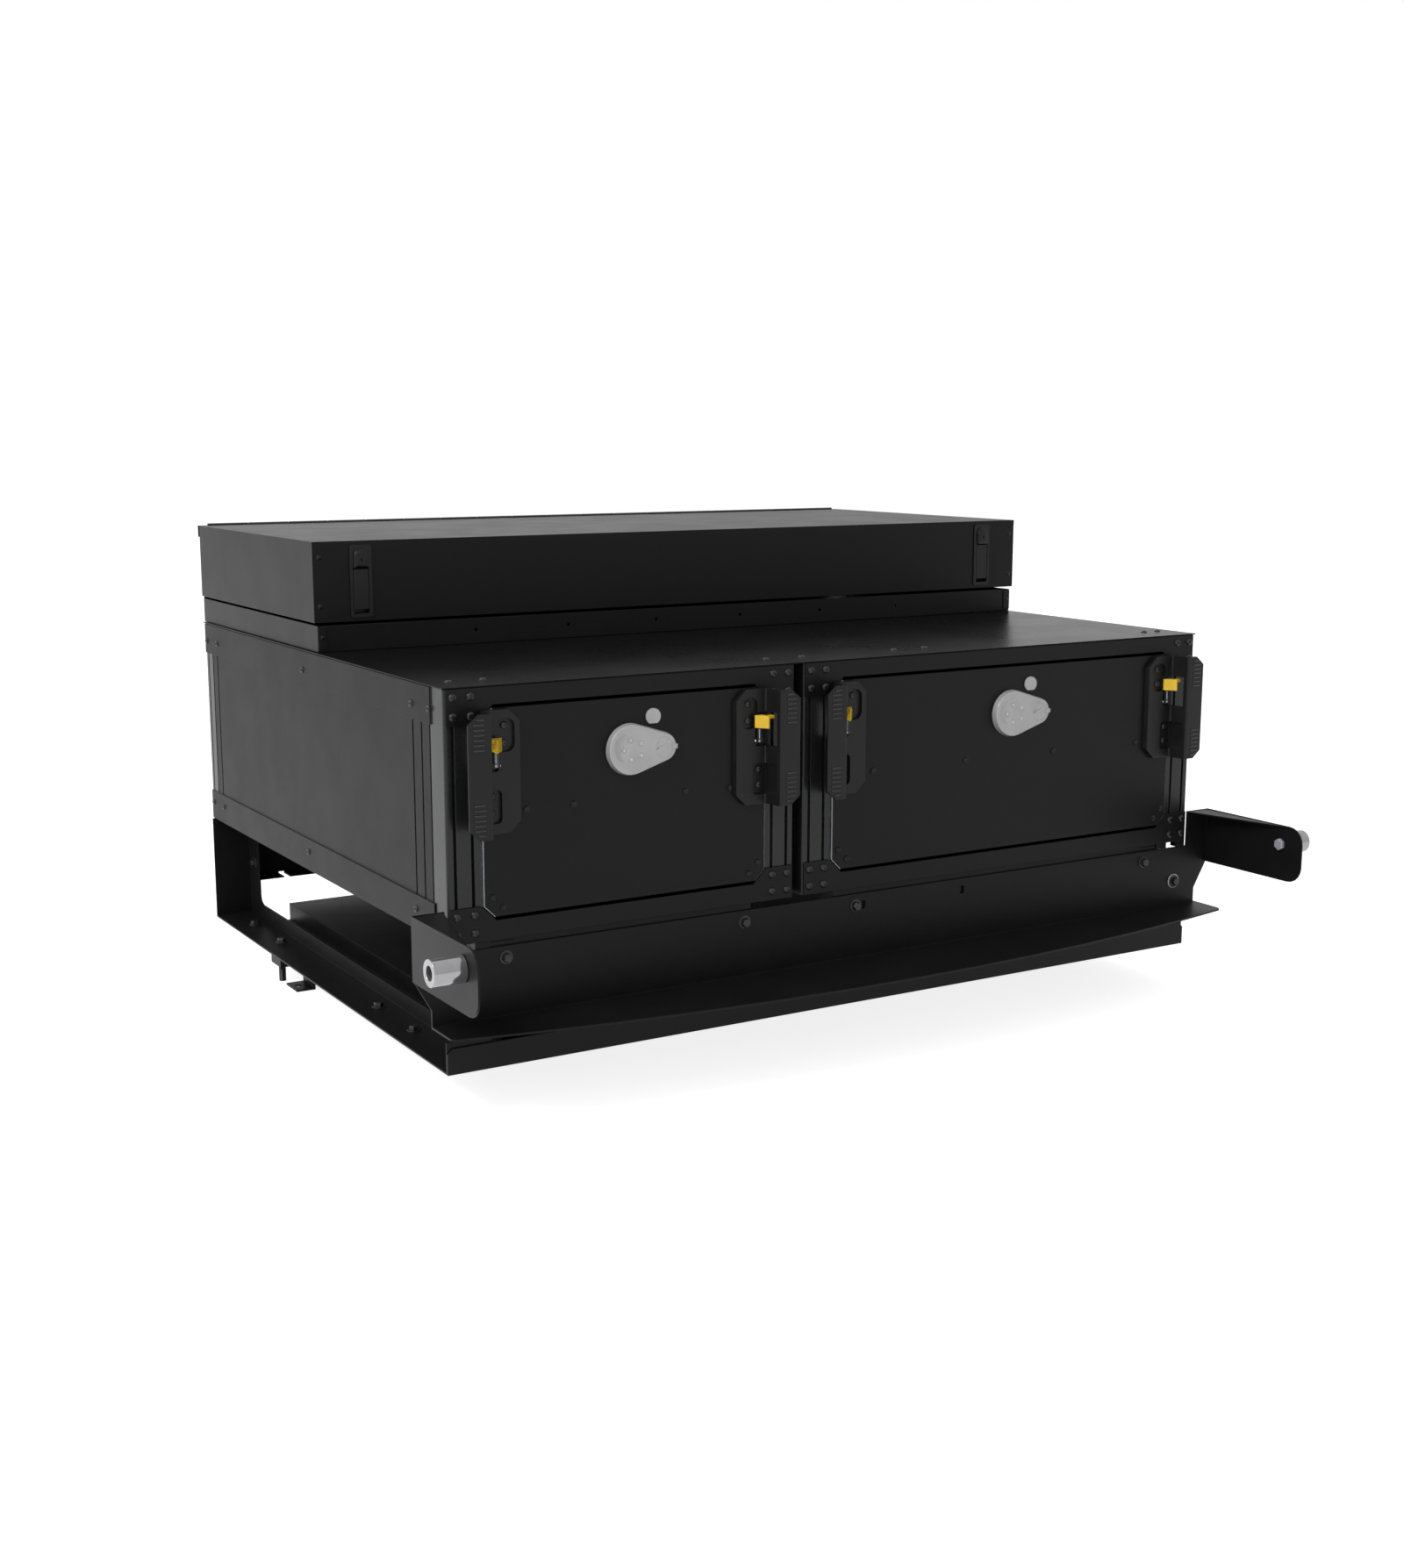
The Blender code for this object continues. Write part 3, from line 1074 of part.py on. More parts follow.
def make_hinge():
    """The piano hinge: a leaf on the tray's back with the pin, and a leaf on the lid's flange."""
    lid_left, lid_right = lid_sides()
    left, right = lid_left + HINGE_SIDE_INSET, lid_right - HINGE_SIDE_INSET
    y_axis, z_axis = hinge_axis()
    pitch = (right - left) / HINGE_KNUCKLES
    low = z_axis - LID_REAR_FLANGE
    high = z_axis - HINGE_RADIUS - HINGE_CLEAR
    tray_face = FRONT + TRAY_REAR - BOX_SHEET
    lid_face = FRONT + LID_REAR
    leaves = (("hinge_fixed_leaf", tray_face - SEAT_GAP - HINGE_LEAF, tray_face - SEAT_GAP, 0),
              ("hinge_lid_leaf", lid_face + SEAT_GAP, lid_face + SEAT_GAP + HINGE_LEAF, 1))
    for name, near, far, first in leaves:
        outline = hinge_comb(left, right, low, high, z_axis, first)
        leaf = node(name, prism("XZ", outline, near, far), COLUMN_BLACK, 0.4, 0.5, (0, y_axis, z_axis))
        knuckles = []
        for index in range(first, HINGE_KNUCKLES, 2):
            start, end = left + pitch * index + HINGE_KNUCKLE_GAP, left + pitch * (index + 1) - HINGE_KNUCKLE_GAP
            knuckles.append(cylinder("X", (0, y_axis, z_axis), start, end, HINGE_RADIUS, HINGE_SIDES))
        combine(leaf, joined(knuckles), "UNION")
        if first:
            bore = cylinder("X", (0, y_axis, z_axis), left - OVERRUN, right + OVERRUN,
                            HINGE_PIN_RADIUS + SEAT_GAP, HINGE_SIDES)
            combine(leaf, bore, "DIFFERENCE")
        else:
            pin = cylinder("X", (0, y_axis, z_axis), left + HINGE_KNUCKLE_GAP * 2, right, HINGE_PIN_RADIUS,
                           HINGE_SIDES)
            combine(leaf, pin, "UNION")


def latch_bottom():
    """z of a latch plate's lower edge."""
    return BOTTOM + (LID_BOTTOM + LID_TOP) / 2 - LATCH_HEIGHT / 2


def latch_lever_pin(x):
    """x, y and z of a latch lever's pin."""
    return (x, FRONT + LID_FRONT + LATCH_LEVER_THICKNESS / 2,
            latch_bottom() + LATCH_LEVER_RISE + LATCH_LEVER_HEIGHT - LATCH_LEVER_THICKNESS)


def make_latch(name, x):
    """A flush paddle latch: housing with a finger recess and an arched key barrel, and its lever."""
    front = FRONT + LID_FRONT
    plate_front = front - SEAT_GAP - LATCH_PLATE
    bottom = latch_bottom()
    half, body, half_lever = LATCH_WIDTH / 2, LATCH_BODY_WIDTH / 2, LATCH_LEVER_WIDTH / 2
    outline = rounded(rectangle(x - half, bottom, x + half, bottom + LATCH_HEIGHT), LATCH_CORNER, 2)
    housing = node(f"latch_housing_{name}", prism("XZ", outline, plate_front, front - SEAT_GAP), COLUMN_BLACK, 0.35)
    combine(housing, box((x - body, plate_front + LATCH_PLATE / 2, bottom + LATCH_CORNER),
                         (x + body, front + LATCH_BODY_DEPTH, bottom + LATCH_HEIGHT - LATCH_CORNER)), "UNION")
    lever_low = bottom + LATCH_LEVER_RISE
    lever_top = lever_low + LATCH_LEVER_HEIGHT
    pin = latch_lever_pin(x)
    swing = math.hypot(pin[1] - plate_front, lever_top - pin[2])
    recess_top = pin[2] + swing + RUNNING_GAP
    recess = half_lever + RUNNING_GAP
    combine(housing, box((x - recess, plate_front - OVERRUN, lever_low - LATCH_FINGER_GAP),
                         (x + recess, front + LATCH_BODY_DEPTH - LATCH_WALL, recess_top)), "DIFFERENCE")
    arch_low = recess_top + LATCH_WALL
    curve = half_lever * LATCH_ARCH_SHARE
    arch = rounded(rectangle(x - half_lever, arch_low, x + half_lever, arch_low + LATCH_ARCH_HEIGHT),
                   (0, 0, curve, curve), 5)
    combine(housing, prism("XZ", arch, plate_front - LATCH_ARCH_STAND, plate_front + LATCH_PLATE / 2), "UNION")
    key = (x, 0, arch_low + LATCH_ARCH_HEIGHT / 2)
    combine(housing, cylinder("Y", key, plate_front - LATCH_ARCH_STAND - OVERRUN,
                              plate_front - LATCH_ARCH_STAND / 2, LATCH_KEY_RADIUS, 16), "DIFFERENCE")
    reach = recess + LATCH_WALL / 2
    combine(housing, cylinder("X", pin, x - reach, x + reach, PIVOT_PIN_RADIUS, 10), "UNION")
    lever = node(f"latch_lever_{name}",
                 box((x - half_lever, plate_front, lever_low),
                     (x + half_lever, plate_front + LATCH_LEVER_THICKNESS, lever_top)), COLUMN_BLACK, 0.35, 0.0, pin)
    combine(lever, cylinder("X", pin, x - half_lever + RUNNING_GAP, x + half_lever - RUNNING_GAP,
                            PIVOT_RADIUS, 14), "UNION")
    combine(lever, cylinder("X", pin, x - half, x + half, PIVOT_PIN_RADIUS + SEAT_GAP, 10), "DIFFERENCE")


# Steel base


def side_sign(name):
    """-1 for the left side and +1 for the right."""
    return -1 if name == "left" else 1


def make_base_rail(name):
    """A bent side rail: foot flange outwards, windowed web, top flange inwards, and end plates."""
    out = side_sign(name)
    edge = out * (CABINET_WIDTH / 2 + BASE_OVERHANG)
    web = out * (CABINET_WIDTH / 2 - RAIL_WEB_INSET)
    inner = web - out * BASE_STEEL
    lip = web - out * RAIL_TOP_FLANGE
    top = BOTTOM - SEAT_GAP
    section = [(edge, BASE_UNDER), (inner, BASE_UNDER), (inner, top - BASE_STEEL), (lip, top - BASE_STEEL),
               (lip, top), (web, top), (web, BASE_UNDER + BASE_STEEL), (edge, BASE_UNDER + BASE_STEEL)]
    front, rear = RAIL_START, FRONT + RAIL_REAR
    rail = node(f"base_rail_{name}", prism("XZ", section, front, rear - BASE_STEEL / 2), STEEL_BLACK, 0.45)
    ends = sorted((edge, inner))
    combine(rail, box((ends[0], rear - BASE_STEEL, BASE_UNDER), (ends[1], rear, top)), "UNION")
    combine(rail, box((ends[0], front, BASE_UNDER), (ends[1], front + BASE_STEEL,
                                                     BASE_UNDER + END_PLATE_HEIGHT)), "UNION")
    window = rounded(rectangle(FRONT + WINDOW_FRONT, BASE_UNDER + WINDOW_BOTTOM,
                               FRONT + CABINET_DEPTH - WINDOW_REAR_INSET, BOTTOM - WINDOW_TOP), WINDOW_RADIUS)
    sides = sorted((web + out * OVERRUN, inner - out * OVERRUN))
    combine(rail, prism("YZ", window, sides[0], sides[1]), "DIFFERENCE")
    add_foot(rail, out, FRONT + CABINET_DEPTH - FOOT_REAR_INSET)
    add_stud(rail, out, FRONT + CABINET_DEPTH - STUD_REAR_INSET)


def add_foot(rail, out, y):
    """Folds a foot onto a rail's underside: top flange, upright, and a tab with a fixing hole."""
    side = out * CABINET_WIDTH / 2
    inner = side - out * (RAIL_WEB_INSET + BASE_STEEL - FOLD_STEP)
    outer, top_outer = side - out * FOOT_OUTER, side - out * FOOT_TOP_OUTER
    top, steel = BASE_UNDER + BASE_STEEL / 2, FOOT_STEEL
    near = inner + out * steel
    section = [(outer, 0), (inner, 0), (inner, top), (top_outer, top), (top_outer, BASE_UNDER - steel),
               (near, BASE_UNDER - steel), (near, steel), (outer, steel)]
    combine(rail, prism("XZ", section, y - FOOT_WIDTH / 2, y + FOOT_WIDTH / 2), "UNION")
    hole = (outer + (inner - outer) * FOOT_HOLE_SHARE, y, 0)
    combine(rail, cylinder("Z", hole, -OVERRUN, steel + OVERRUN, FOOT_HOLE_RADIUS, 16), "DIFFERENCE")


def add_stud(rail, out, y):
    """Adds a boxed bracket with a hanging stud to a rail's underside."""
    middle = out * (CABINET_WIDTH / 2 - STUD_SIDE)
    half = STUD_BOX_LENGTH / 2
    foot = BASE_UNDER - STUD_BOX_HEIGHT
    combine(rail, box((middle - STUD_BOX_WIDTH / 2, y - half, foot),
                      (middle + STUD_BOX_WIDTH / 2, y + half, BASE_UNDER + BASE_STEEL / 2)), "UNION")
    combine(rail, cylinder("Z", (middle, y, 0), foot - STUD_LENGTH, foot + STUD_RADIUS, STUD_RADIUS, 10), "UNION")


def make_front_rail():
    """The low plate across the base's front, with cut upper corners and a lip between the webs."""
    half = CABINET_WIDTH / 2 + BASE_OVERHANG
    top = BASE_UNDER + FRONT_RAIL_HEIGHT
    notch = FRONT_RAIL_NOTCH
    outline = [(-half, BASE_UNDER), (half, BASE_UNDER), (half, top - notch), (half - notch, top),
               (notch - half, top), (-half, top - notch)]
    back = RAIL_START - SEAT_GAP
    rail = node("base_front_rail", prism("XZ", outline, back - BASE_STEEL, back), STEEL_BLACK, 0.45)
    inner = CABINET_WIDTH / 2 - RAIL_WEB_INSET - BASE_STEEL - SEAT_GAP
    combine(rail, box((-inner, back - BASE_STEEL / 2, BASE_UNDER),
                      (inner, back + FRONT_RAIL_LIP, BASE_UNDER + BASE_STEEL)), "UNION")


def beam_reaches():
    """Half widths of a cross beam below the rails' top flanges, and between those flanges."""
    web = CABINET_WIDTH / 2 - RAIL_WEB_INSET
    return web - BASE_STEEL - SEAT_GAP, web - RAIL_TOP_FLANGE - SEAT_GAP


def make_rear_beam():
    """The bent beam that ties the rails together under the cabinet's rear."""
    wide, narrow = beam_reaches()
    top = BOTTOM - SEAT_GAP
    under_flange = top - BASE_STEEL - SEAT_GAP
    rear = FRONT + RAIL_REAR - BASE_STEEL - SEAT_GAP
    foot = top - REAR_BEAM_HEIGHT
    outline = [(-wide, foot), (wide, foot), (wide, under_flange), (narrow, under_flange), (narrow, top),
               (-narrow, top), (-narrow, under_flange), (-wide, under_flange)]
    beam = node("base_rear_beam", prism("XZ", outline, rear - BASE_STEEL, rear), STEEL_BLACK, 0.45)
    combine(beam, box((-wide, rear - REAR_BEAM_FLANGE, foot), (wide, rear - BASE_STEEL / 2, foot + BASE_STEEL)),
            "UNION")
    notches = []
    for out in (-1, 1):
        middle = out * (CABINET_WIDTH / 2 - BEAM_NOTCH_SIDE)
        notches.append(box((middle - BEAM_NOTCH_WIDTH / 2, rear - REAR_BEAM_FLANGE - OVERRUN, foot - OVERRUN),
                           (middle + BEAM_NOTCH_WIDTH / 2, rear + OVERRUN, foot + BEAM_NOTCH_HEIGHT)))
    combine(beam, joined(notches), "DIFFERENCE")


def make_front_beam():
    """The bent beam behind the sill plate, notched in the middle of its upper edge."""
    wide, narrow = beam_reaches()
    top = BOTTOM - SEAT_GAP
    under_flange = top - BASE_STEEL - SEAT_GAP
    foot = top - FRONT_BEAM_HEIGHT
    front = RAIL_START
    strip = top - STRIP_CUT_HEIGHT
    left, right = LEFT + STRIP_CUT_LEFT, LEFT + STRIP_CUT_RIGHT
    outline = [(-wide, foot), (wide, foot), (wide, under_flange), (narrow, under_flange), (narrow, top),
               (right, top), (right, strip), (left, strip), (left, top), (-narrow, top),
               (-narrow, under_flange), (-wide, under_flange)]
    beam = node("base_front_beam", prism("XZ", outline, front, front + BASE_STEEL), STEEL_BLACK, 0.45)
    combine(beam, box((-wide, front + BASE_STEEL / 2, foot), (wide, front + REAR_BEAM_FLANGE, foot + BASE_STEEL)),
            "UNION")


def make_cover():
    """The raised cover over the subfloor, flanged out to the rails' webs."""
    half = CABINET_WIDTH / 2 - COVER_INSET
    reach = CABINET_WIDTH / 2 - RAIL_WEB_INSET - BASE_STEEL - SEAT_GAP
    low = BASE_UNDER
    high = BASE_UNDER + COVER_HEIGHT
    section = [(-reach, low), (-half + SHEET, low), (-half + SHEET, high - SHEET), (half - SHEET, high - SHEET),
               (half - SHEET, low), (reach, low), (reach, low + SHEET), (half, low + SHEET), (half, high),
               (-half, high), (-half, low + SHEET), (-reach, low + SHEET)]
    front, rear = FRONT + COVER_FRONT, FRONT + CABINET_DEPTH - COVER_REAR_INSET
    cover = node("base_cover", prism("XZ", section, front, rear), STEEL_BLACK, 0.4)
    for near in (front, rear - SHEET):
        combine(cover, box((-half + SHEET / 2, near, low), (half - SHEET / 2, near + SHEET, high - SHEET / 2)),
                "UNION")
    for out in (-1, 1):
        add_cover_foot(cover, out, FRONT + COVER_FOOT_PLACE)


def add_cover_foot(cover, out, y):
    """Hangs a foot from the cover's side flange, with its tab turned inwards and a fixing hole."""
    outer = out * (CABINET_WIDTH / 2 - COVER_FOOT_INSET)
    inner, near, flange = (outer - out * reach for reach in (COVER_FOOT_REACH, FOOT_STEEL, COVER_FOOT_FLANGE))
    top, steel = BASE_UNDER + SHEET / 2, FOOT_STEEL
    section = [(outer, 0), (outer, top), (flange, top), (flange, BASE_UNDER - steel), (near, BASE_UNDER - steel),
               (near, steel), (inner, steel), (inner, 0)]
    combine(cover, prism("XZ", section, y - FOOT_WIDTH / 2, y + FOOT_WIDTH / 2), "UNION")
    hole = (outer + (inner - outer) * COVER_FOOT_HOLE_SHARE, y, 0)
    combine(cover, cylinder("Z", hole, -OVERRUN, steel + OVERRUN, FOOT_HOLE_RADIUS, 16), "DIFFERENCE")


def sill_front_edge():
    """The sill flange's bowed front edge, from left to right, as (x, y) points."""
    half = CABINET_WIDTH / 2 + WEB_OVERHANG
    bow = SILL_MIDDLE_REACH - SILL_END_REACH
    radius = (half * half + bow * bow) / (2 * bow)
    sweep = math.asin(half / radius)
    points = []
    for step in range(SILL_ARC_STEPS + 1):
        angle = -sweep + 2 * sweep * step / SILL_ARC_STEPS
        points.append((radius * math.sin(angle),
                       FRONT - SILL_END_REACH - bow + radius * (1 - math.cos(angle))))
    return points


def make_sill_plate():
    """The bent plate under the front: web with ears, bowed sill flange, and a wing at each end."""
    web_half = CABINET_WIDTH / 2 + WEB_OVERHANG
    wing_half = CABINET_WIDTH / 2 + WING_OVERHANG
    ear_inner = CABINET_WIDTH / 2 + PLATE_OUT + EAR_GAP
    web_low = BOTTOM - WEB_BEND
    ear_outer = wing_half - BASE_STEEL / 2
    ear_low, ear_high = BOTTOM - WING_BOTTOM + FOLD_STEP, BOTTOM + EAR_TOP - FOLD_STEP
    right_side = [(web_half, web_low), (web_half, BOTTOM - WEB_CORNER_DROP), (ear_outer, ear_low),
                  (ear_outer, ear_high), (ear_inner, ear_high), (ear_inner, BOTTOM - WEB_TOP)]
    outline = right_side + list(mirrored(right_side))
    line = BOTTOM - WEB_SLOT_LINE
    holes = [circle((RIGHT - WEB_HOLE_INSET, BOTTOM - WEB_HOLE_DROP), WEB_HOLE_RADIUS)]
    for slot_x in WEB_SLOT_OFFSETS:
        holes.append(rounded(rectangle(slot_x - WEB_SLOT_WIDTH / 2, line - WEB_SLOT_HEIGHT / 2,
                                       slot_x + WEB_SLOT_WIDTH / 2, line + WEB_SLOT_HEIGHT / 2),
                             WEB_SLOT_WIDTH / 3))
    plate = node("sill_plate", prism("XZ", outline, FRONT, FRONT + WEB_STEEL, holes), STEEL_BLACK, 0.45)
    edge = sill_front_edge()
    back = FRONT + WEB_STEEL
    flange = rounded(edge + [(web_half, back), (-web_half, back)],
                     [SILL_CORNER_RADIUS] + [0 for _ in edge[1:-1]] + [SILL_CORNER_RADIUS, 0, 0])
    combine(plate, prism("XY", flange, web_low - BASE_STEEL, web_low + SEAT_GAP), "UNION")
    for out in (-1, 1):
        faces = sorted((out * wing_half, out * (wing_half - BASE_STEEL)))
        tip = FRONT - WING_REACH
        wing = rounded(rectangle(tip, BOTTOM - WING_BOTTOM, FRONT + WEB_STEEL / 2, BOTTOM + EAR_TOP),
                       (WING_RADIUS, 0, 0, WING_RADIUS), 5)
        combine(plate, prism("YZ", wing, faces[0], faces[1]), "UNION")
        flange_top = BOTTOM + EAR_TOP - FOLD_STEP * 2
        outer, inner = out * (wing_half - BASE_STEEL / 2), out * (ear_inner + WEB_STEEL / 2)
        triangle = [(outer, FRONT - WING_FLANGE_REACH), (outer, FRONT + WEB_STEEL / 2),
                    (inner, FRONT + WEB_STEEL / 2)]
        combine(plate, prism("XY", triangle, flange_top - BASE_STEEL, flange_top), "UNION")


def make_posts():
    """The polished spacer post on each wing, bored from its outer end."""
    for name in ("left", "right"):
        out = side_sign(name)
        face = out * (CABINET_WIDTH / 2 + WING_OVERHANG + SEAT_GAP)
        end = face + out * POST_LENGTH
        spot = (0, FRONT - POST_REACH, BOTTOM + POST_RISE)
        post = node(f"side_post_{name}", cylinder("X", spot, min(face, end), max(face, end), POST_RADIUS, 32),
                    POLISHED, 0.1, 1.0)
        bore = sorted((end + out * OVERRUN, end - out * POST_BORE_DEPTH))
        combine(post, cylinder("X", spot, bore[0], bore[1], POST_BORE_RADIUS, 20), "DIFFERENCE")


def build():
    """Makes every piece of the unit."""
    clear_scene()
    for module in MODULES:
        make_side_frame(module, "left")
        make_side_frame(module, "right")
        make_face_rails(module)
        make_slide_middles(module)
        make_drawer(module)
        make_lock(module)
    for place in GRIPS:
        make_grip(place)
        make_trigger(place)
    make_panels()
    make_tray()
    make_lid()
    make_hinge()
    for name, x in latch_places():
        make_latch(name, x)
    for name in ("left", "right"):
        make_base_rail(name)
    make_front_rail()
    make_rear_beam()
    make_front_beam()
    make_cover()
    make_sill_plate()
    make_posts()


build()
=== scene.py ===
"""Dresses the cargo drawer unit's CAD frame: finishes, softened edges, fasteners, light and camera."""

import json
import logging
import math
from dataclasses import dataclass, field
from enum import Enum
from typing import Callable

import bmesh
import bpy
from mathutils import Matrix, Vector, geometry


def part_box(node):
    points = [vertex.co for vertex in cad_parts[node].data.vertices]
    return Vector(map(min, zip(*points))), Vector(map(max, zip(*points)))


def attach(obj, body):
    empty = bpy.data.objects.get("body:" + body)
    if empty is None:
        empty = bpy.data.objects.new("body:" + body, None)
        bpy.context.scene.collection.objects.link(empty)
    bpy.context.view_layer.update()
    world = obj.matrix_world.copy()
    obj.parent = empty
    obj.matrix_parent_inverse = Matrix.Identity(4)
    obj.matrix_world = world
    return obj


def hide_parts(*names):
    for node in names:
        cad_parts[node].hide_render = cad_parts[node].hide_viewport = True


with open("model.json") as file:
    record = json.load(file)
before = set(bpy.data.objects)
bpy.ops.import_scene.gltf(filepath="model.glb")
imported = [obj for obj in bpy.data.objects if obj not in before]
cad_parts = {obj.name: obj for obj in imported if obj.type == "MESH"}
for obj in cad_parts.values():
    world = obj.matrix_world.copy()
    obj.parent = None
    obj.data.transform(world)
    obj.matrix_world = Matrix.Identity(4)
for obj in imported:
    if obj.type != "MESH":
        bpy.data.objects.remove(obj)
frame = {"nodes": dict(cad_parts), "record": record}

LOG = logging.getLogger("cargo_drawer_unit")
MM = 0.001
CABINET_CORNER = Vector((-587.5, -364.0, 215.0))
SHARP_ANGLE = math.radians(32)
HEAD_SHARP_ANGLE = math.radians(38)
BUTTON_SHARP_ANGLE = math.radians(50)
SIDES = (-1, 1)
FRONTWARD, REARWARD, UPWARD = (0, -1, 0), (0, 1, 0), (0, 0, 1)
CABINET_SIZE = Vector((1175.0, 904.0, 305.0))
MODULE_EDGES = {"left": (0.0, 482.6), "right": (496.2, 1175.0)}

Pair = tuple[float, float]
Pairs = tuple[Pair, ...]
Point = tuple[float, float, float]
Colour = tuple[float, float, float]
Places = list[tuple[Vector, Point]]


def from_corner(x: float, y: float, z: float) -> Vector:
    """Gives a place in metres from millimetres off the cabinet's lower left front corner."""
    return (CABINET_CORNER + Vector((x, y, z))) * MM


def corners(node: str) -> tuple[Vector, Vector]:
    """Gives a CAD node's lowest and highest corners in millimetres."""
    low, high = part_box(node)
    return Vector(low) / MM, Vector(high) / MM


def carrier(node: str) -> str:
    """Gives the name of the body that a CAD node rides on."""
    return next(body for body, nodes in frame["record"]["behaviour"]["bodies"].items() if node in nodes)


def linked(name: str, data: bpy.types.ID) -> bpy.types.Object:
    """Adds an object to the scene.

    Args:
        name: The object's name.
        data: Its mesh, lamp or camera.

    Returns:
        The object.
    """
    thing = bpy.data.objects.new(name, data)
    bpy.context.scene.collection.objects.link(thing)
    return thing


def arc(radius: float, start: float, end: float, steps: int) -> list[Pair]:
    """Lists the points of an arc round zero between two angles in radians, with both ends."""
    angles = [start + (end - start) * k / steps for k in range(steps + 1)]
    return [(radius * math.cos(angle), radius * math.sin(angle)) for angle in angles]


class Slot(Enum):
    """The record's material slots."""

    STEEL = "steel_black"
    COLUMN = "column_black"
    ZINC = "zinc"
    SILVER = "satin_silver"
    POLISHED = "polished_steel"
    GRIP = "grip_plastic"
    TRIGGER = "trigger_yellow"


def fill(node: bpy.types.Node, inputs: dict[str | int, object]) -> bpy.types.Node:
    """Joins sockets to a node's inputs, or sets the inputs' own values.

    Args:
        node: The node.
        inputs: A socket or a value for each input, by its name or number.

    Returns:
        The node.
    """
    for title, value in inputs.items():
        if isinstance(value, bpy.types.NodeSocket):
            node.id_data.links.new(value, node.inputs[title])
        else:
            node.inputs[title].default_value = value
    return node


def add_node(tree: bpy.types.NodeTree, kind: str, inputs: dict[str | int, object] | None = None,
             **values: object) -> bpy.types.Node:
    """Adds a node to a tree.

    Args:
        tree: The tree.
        kind: The node's type name.
        inputs: A socket or a value for each input that isn't left as it is.
        values: Property values by name, which are set first.

    Returns:
        The new node.
    """
    made = tree.nodes.new(kind)
    for title, value in values.items():
        setattr(made, title, value)
    return fill(made, inputs or {})


def shader_group(name: str, sizes: dict[str, float], outputs: tuple[str, ...]) -> bpy.types.NodeTree:
    """Makes a shader node group that has its sockets and no nodes.

    Args:
        name: The group's name.
        sizes: Each number that it takes beside the vector, and its default.
        outputs: The numbers that it gives.

    Returns:
        The group.
    """
    tree = bpy.data.node_groups.new(name, "ShaderNodeTree")
    tree.interface.new_socket("Vector", in_out="INPUT", socket_type="NodeSocketVector")
    for title, default in sizes.items():
        socket = tree.interface.new_socket(title, in_out="INPUT", socket_type="NodeSocketFloat")
        socket.default_value = default
    for title in outputs:
        tree.interface.new_socket(title, in_out="OUTPUT", socket_type="NodeSocketFloat")
    return tree


def grain_group() -> bpy.types.NodeTree:
    """Builds the fine grain of powder coat, cast zinc or moulded plastic.

    Returns:
        A group that puts out the grain's height and a soft mottle from 0 to 1.
    """
    tree = shader_group("surface grain", {"Grain size": 900.0, "Mottle size": 14.0}, ("Height", "Mottle"))
    given = add_node(tree, "NodeGroupInput").outputs
    fine, broad = (
        add_node(tree, "ShaderNodeTexNoise", {
            "Vector": given["Vector"], "Scale": given[size], "Detail": detail, "Roughness": rough,
        }, noise_dimensions="3D")
        for size, detail, rough in (("Grain size", 2.0, 0.55), ("Mottle size", 4.0, 0.6)))
    spread = add_node(tree, "ShaderNodeMapRange", {
        "Value": broad.outputs["Fac"], "From Min": 0.32, "From Max": 0.68}, interpolation_type="SMOOTHSTEP")
    add_node(tree, "NodeGroupOutput", {"Height": fine.outputs["Fac"], "Mottle": spread.outputs["Result"]})
    return tree


def drawn_group() -> bpy.types.NodeTree:
    """Builds the fine lines that rolling, drawing or turning leaves on metal.

    Returns:
        A group that puts out the lines as a height from 0 to 1.
    """
    tree = shader_group("drawn lines", {"Across": 1800.0, "Along": 14.0}, ("Height",))
    given = add_node(tree, "NodeGroupInput").outputs
    split = add_node(tree, "ShaderNodeSeparateXYZ", {0: given["Vector"]})
    stretched = {axis: add_node(tree, "ShaderNodeMath", {0: split.outputs[axis], 1: given[rate]},
                                operation="MULTIPLY").outputs[0]
                 for axis, rate in (("X", "Across"), ("Y", "Across"), ("Z", "Along"))}
    gather = add_node(tree, "ShaderNodeCombineXYZ", stretched)
    noise = add_node(tree, "ShaderNodeTexNoise", {"Vector": gather.outputs[0], "Scale": 1.0, "Detail": 1.0},
                     noise_dimensions="3D")
    add_node(tree, "NodeGroupOutput", {"Height": noise.outputs["Fac"]})
    return tree


class Lines(Enum):
    """The way that a finish's drawn lines run."""

    NONE = (0.0, 0.0, 0.0)
    UPRIGHT = (0.0, 0.0, 0.0001)
    LENGTHWISE = (math.pi / 2, 0.0, 0.0)
    ACROSS = (0.0, math.pi / 2, 0.0)


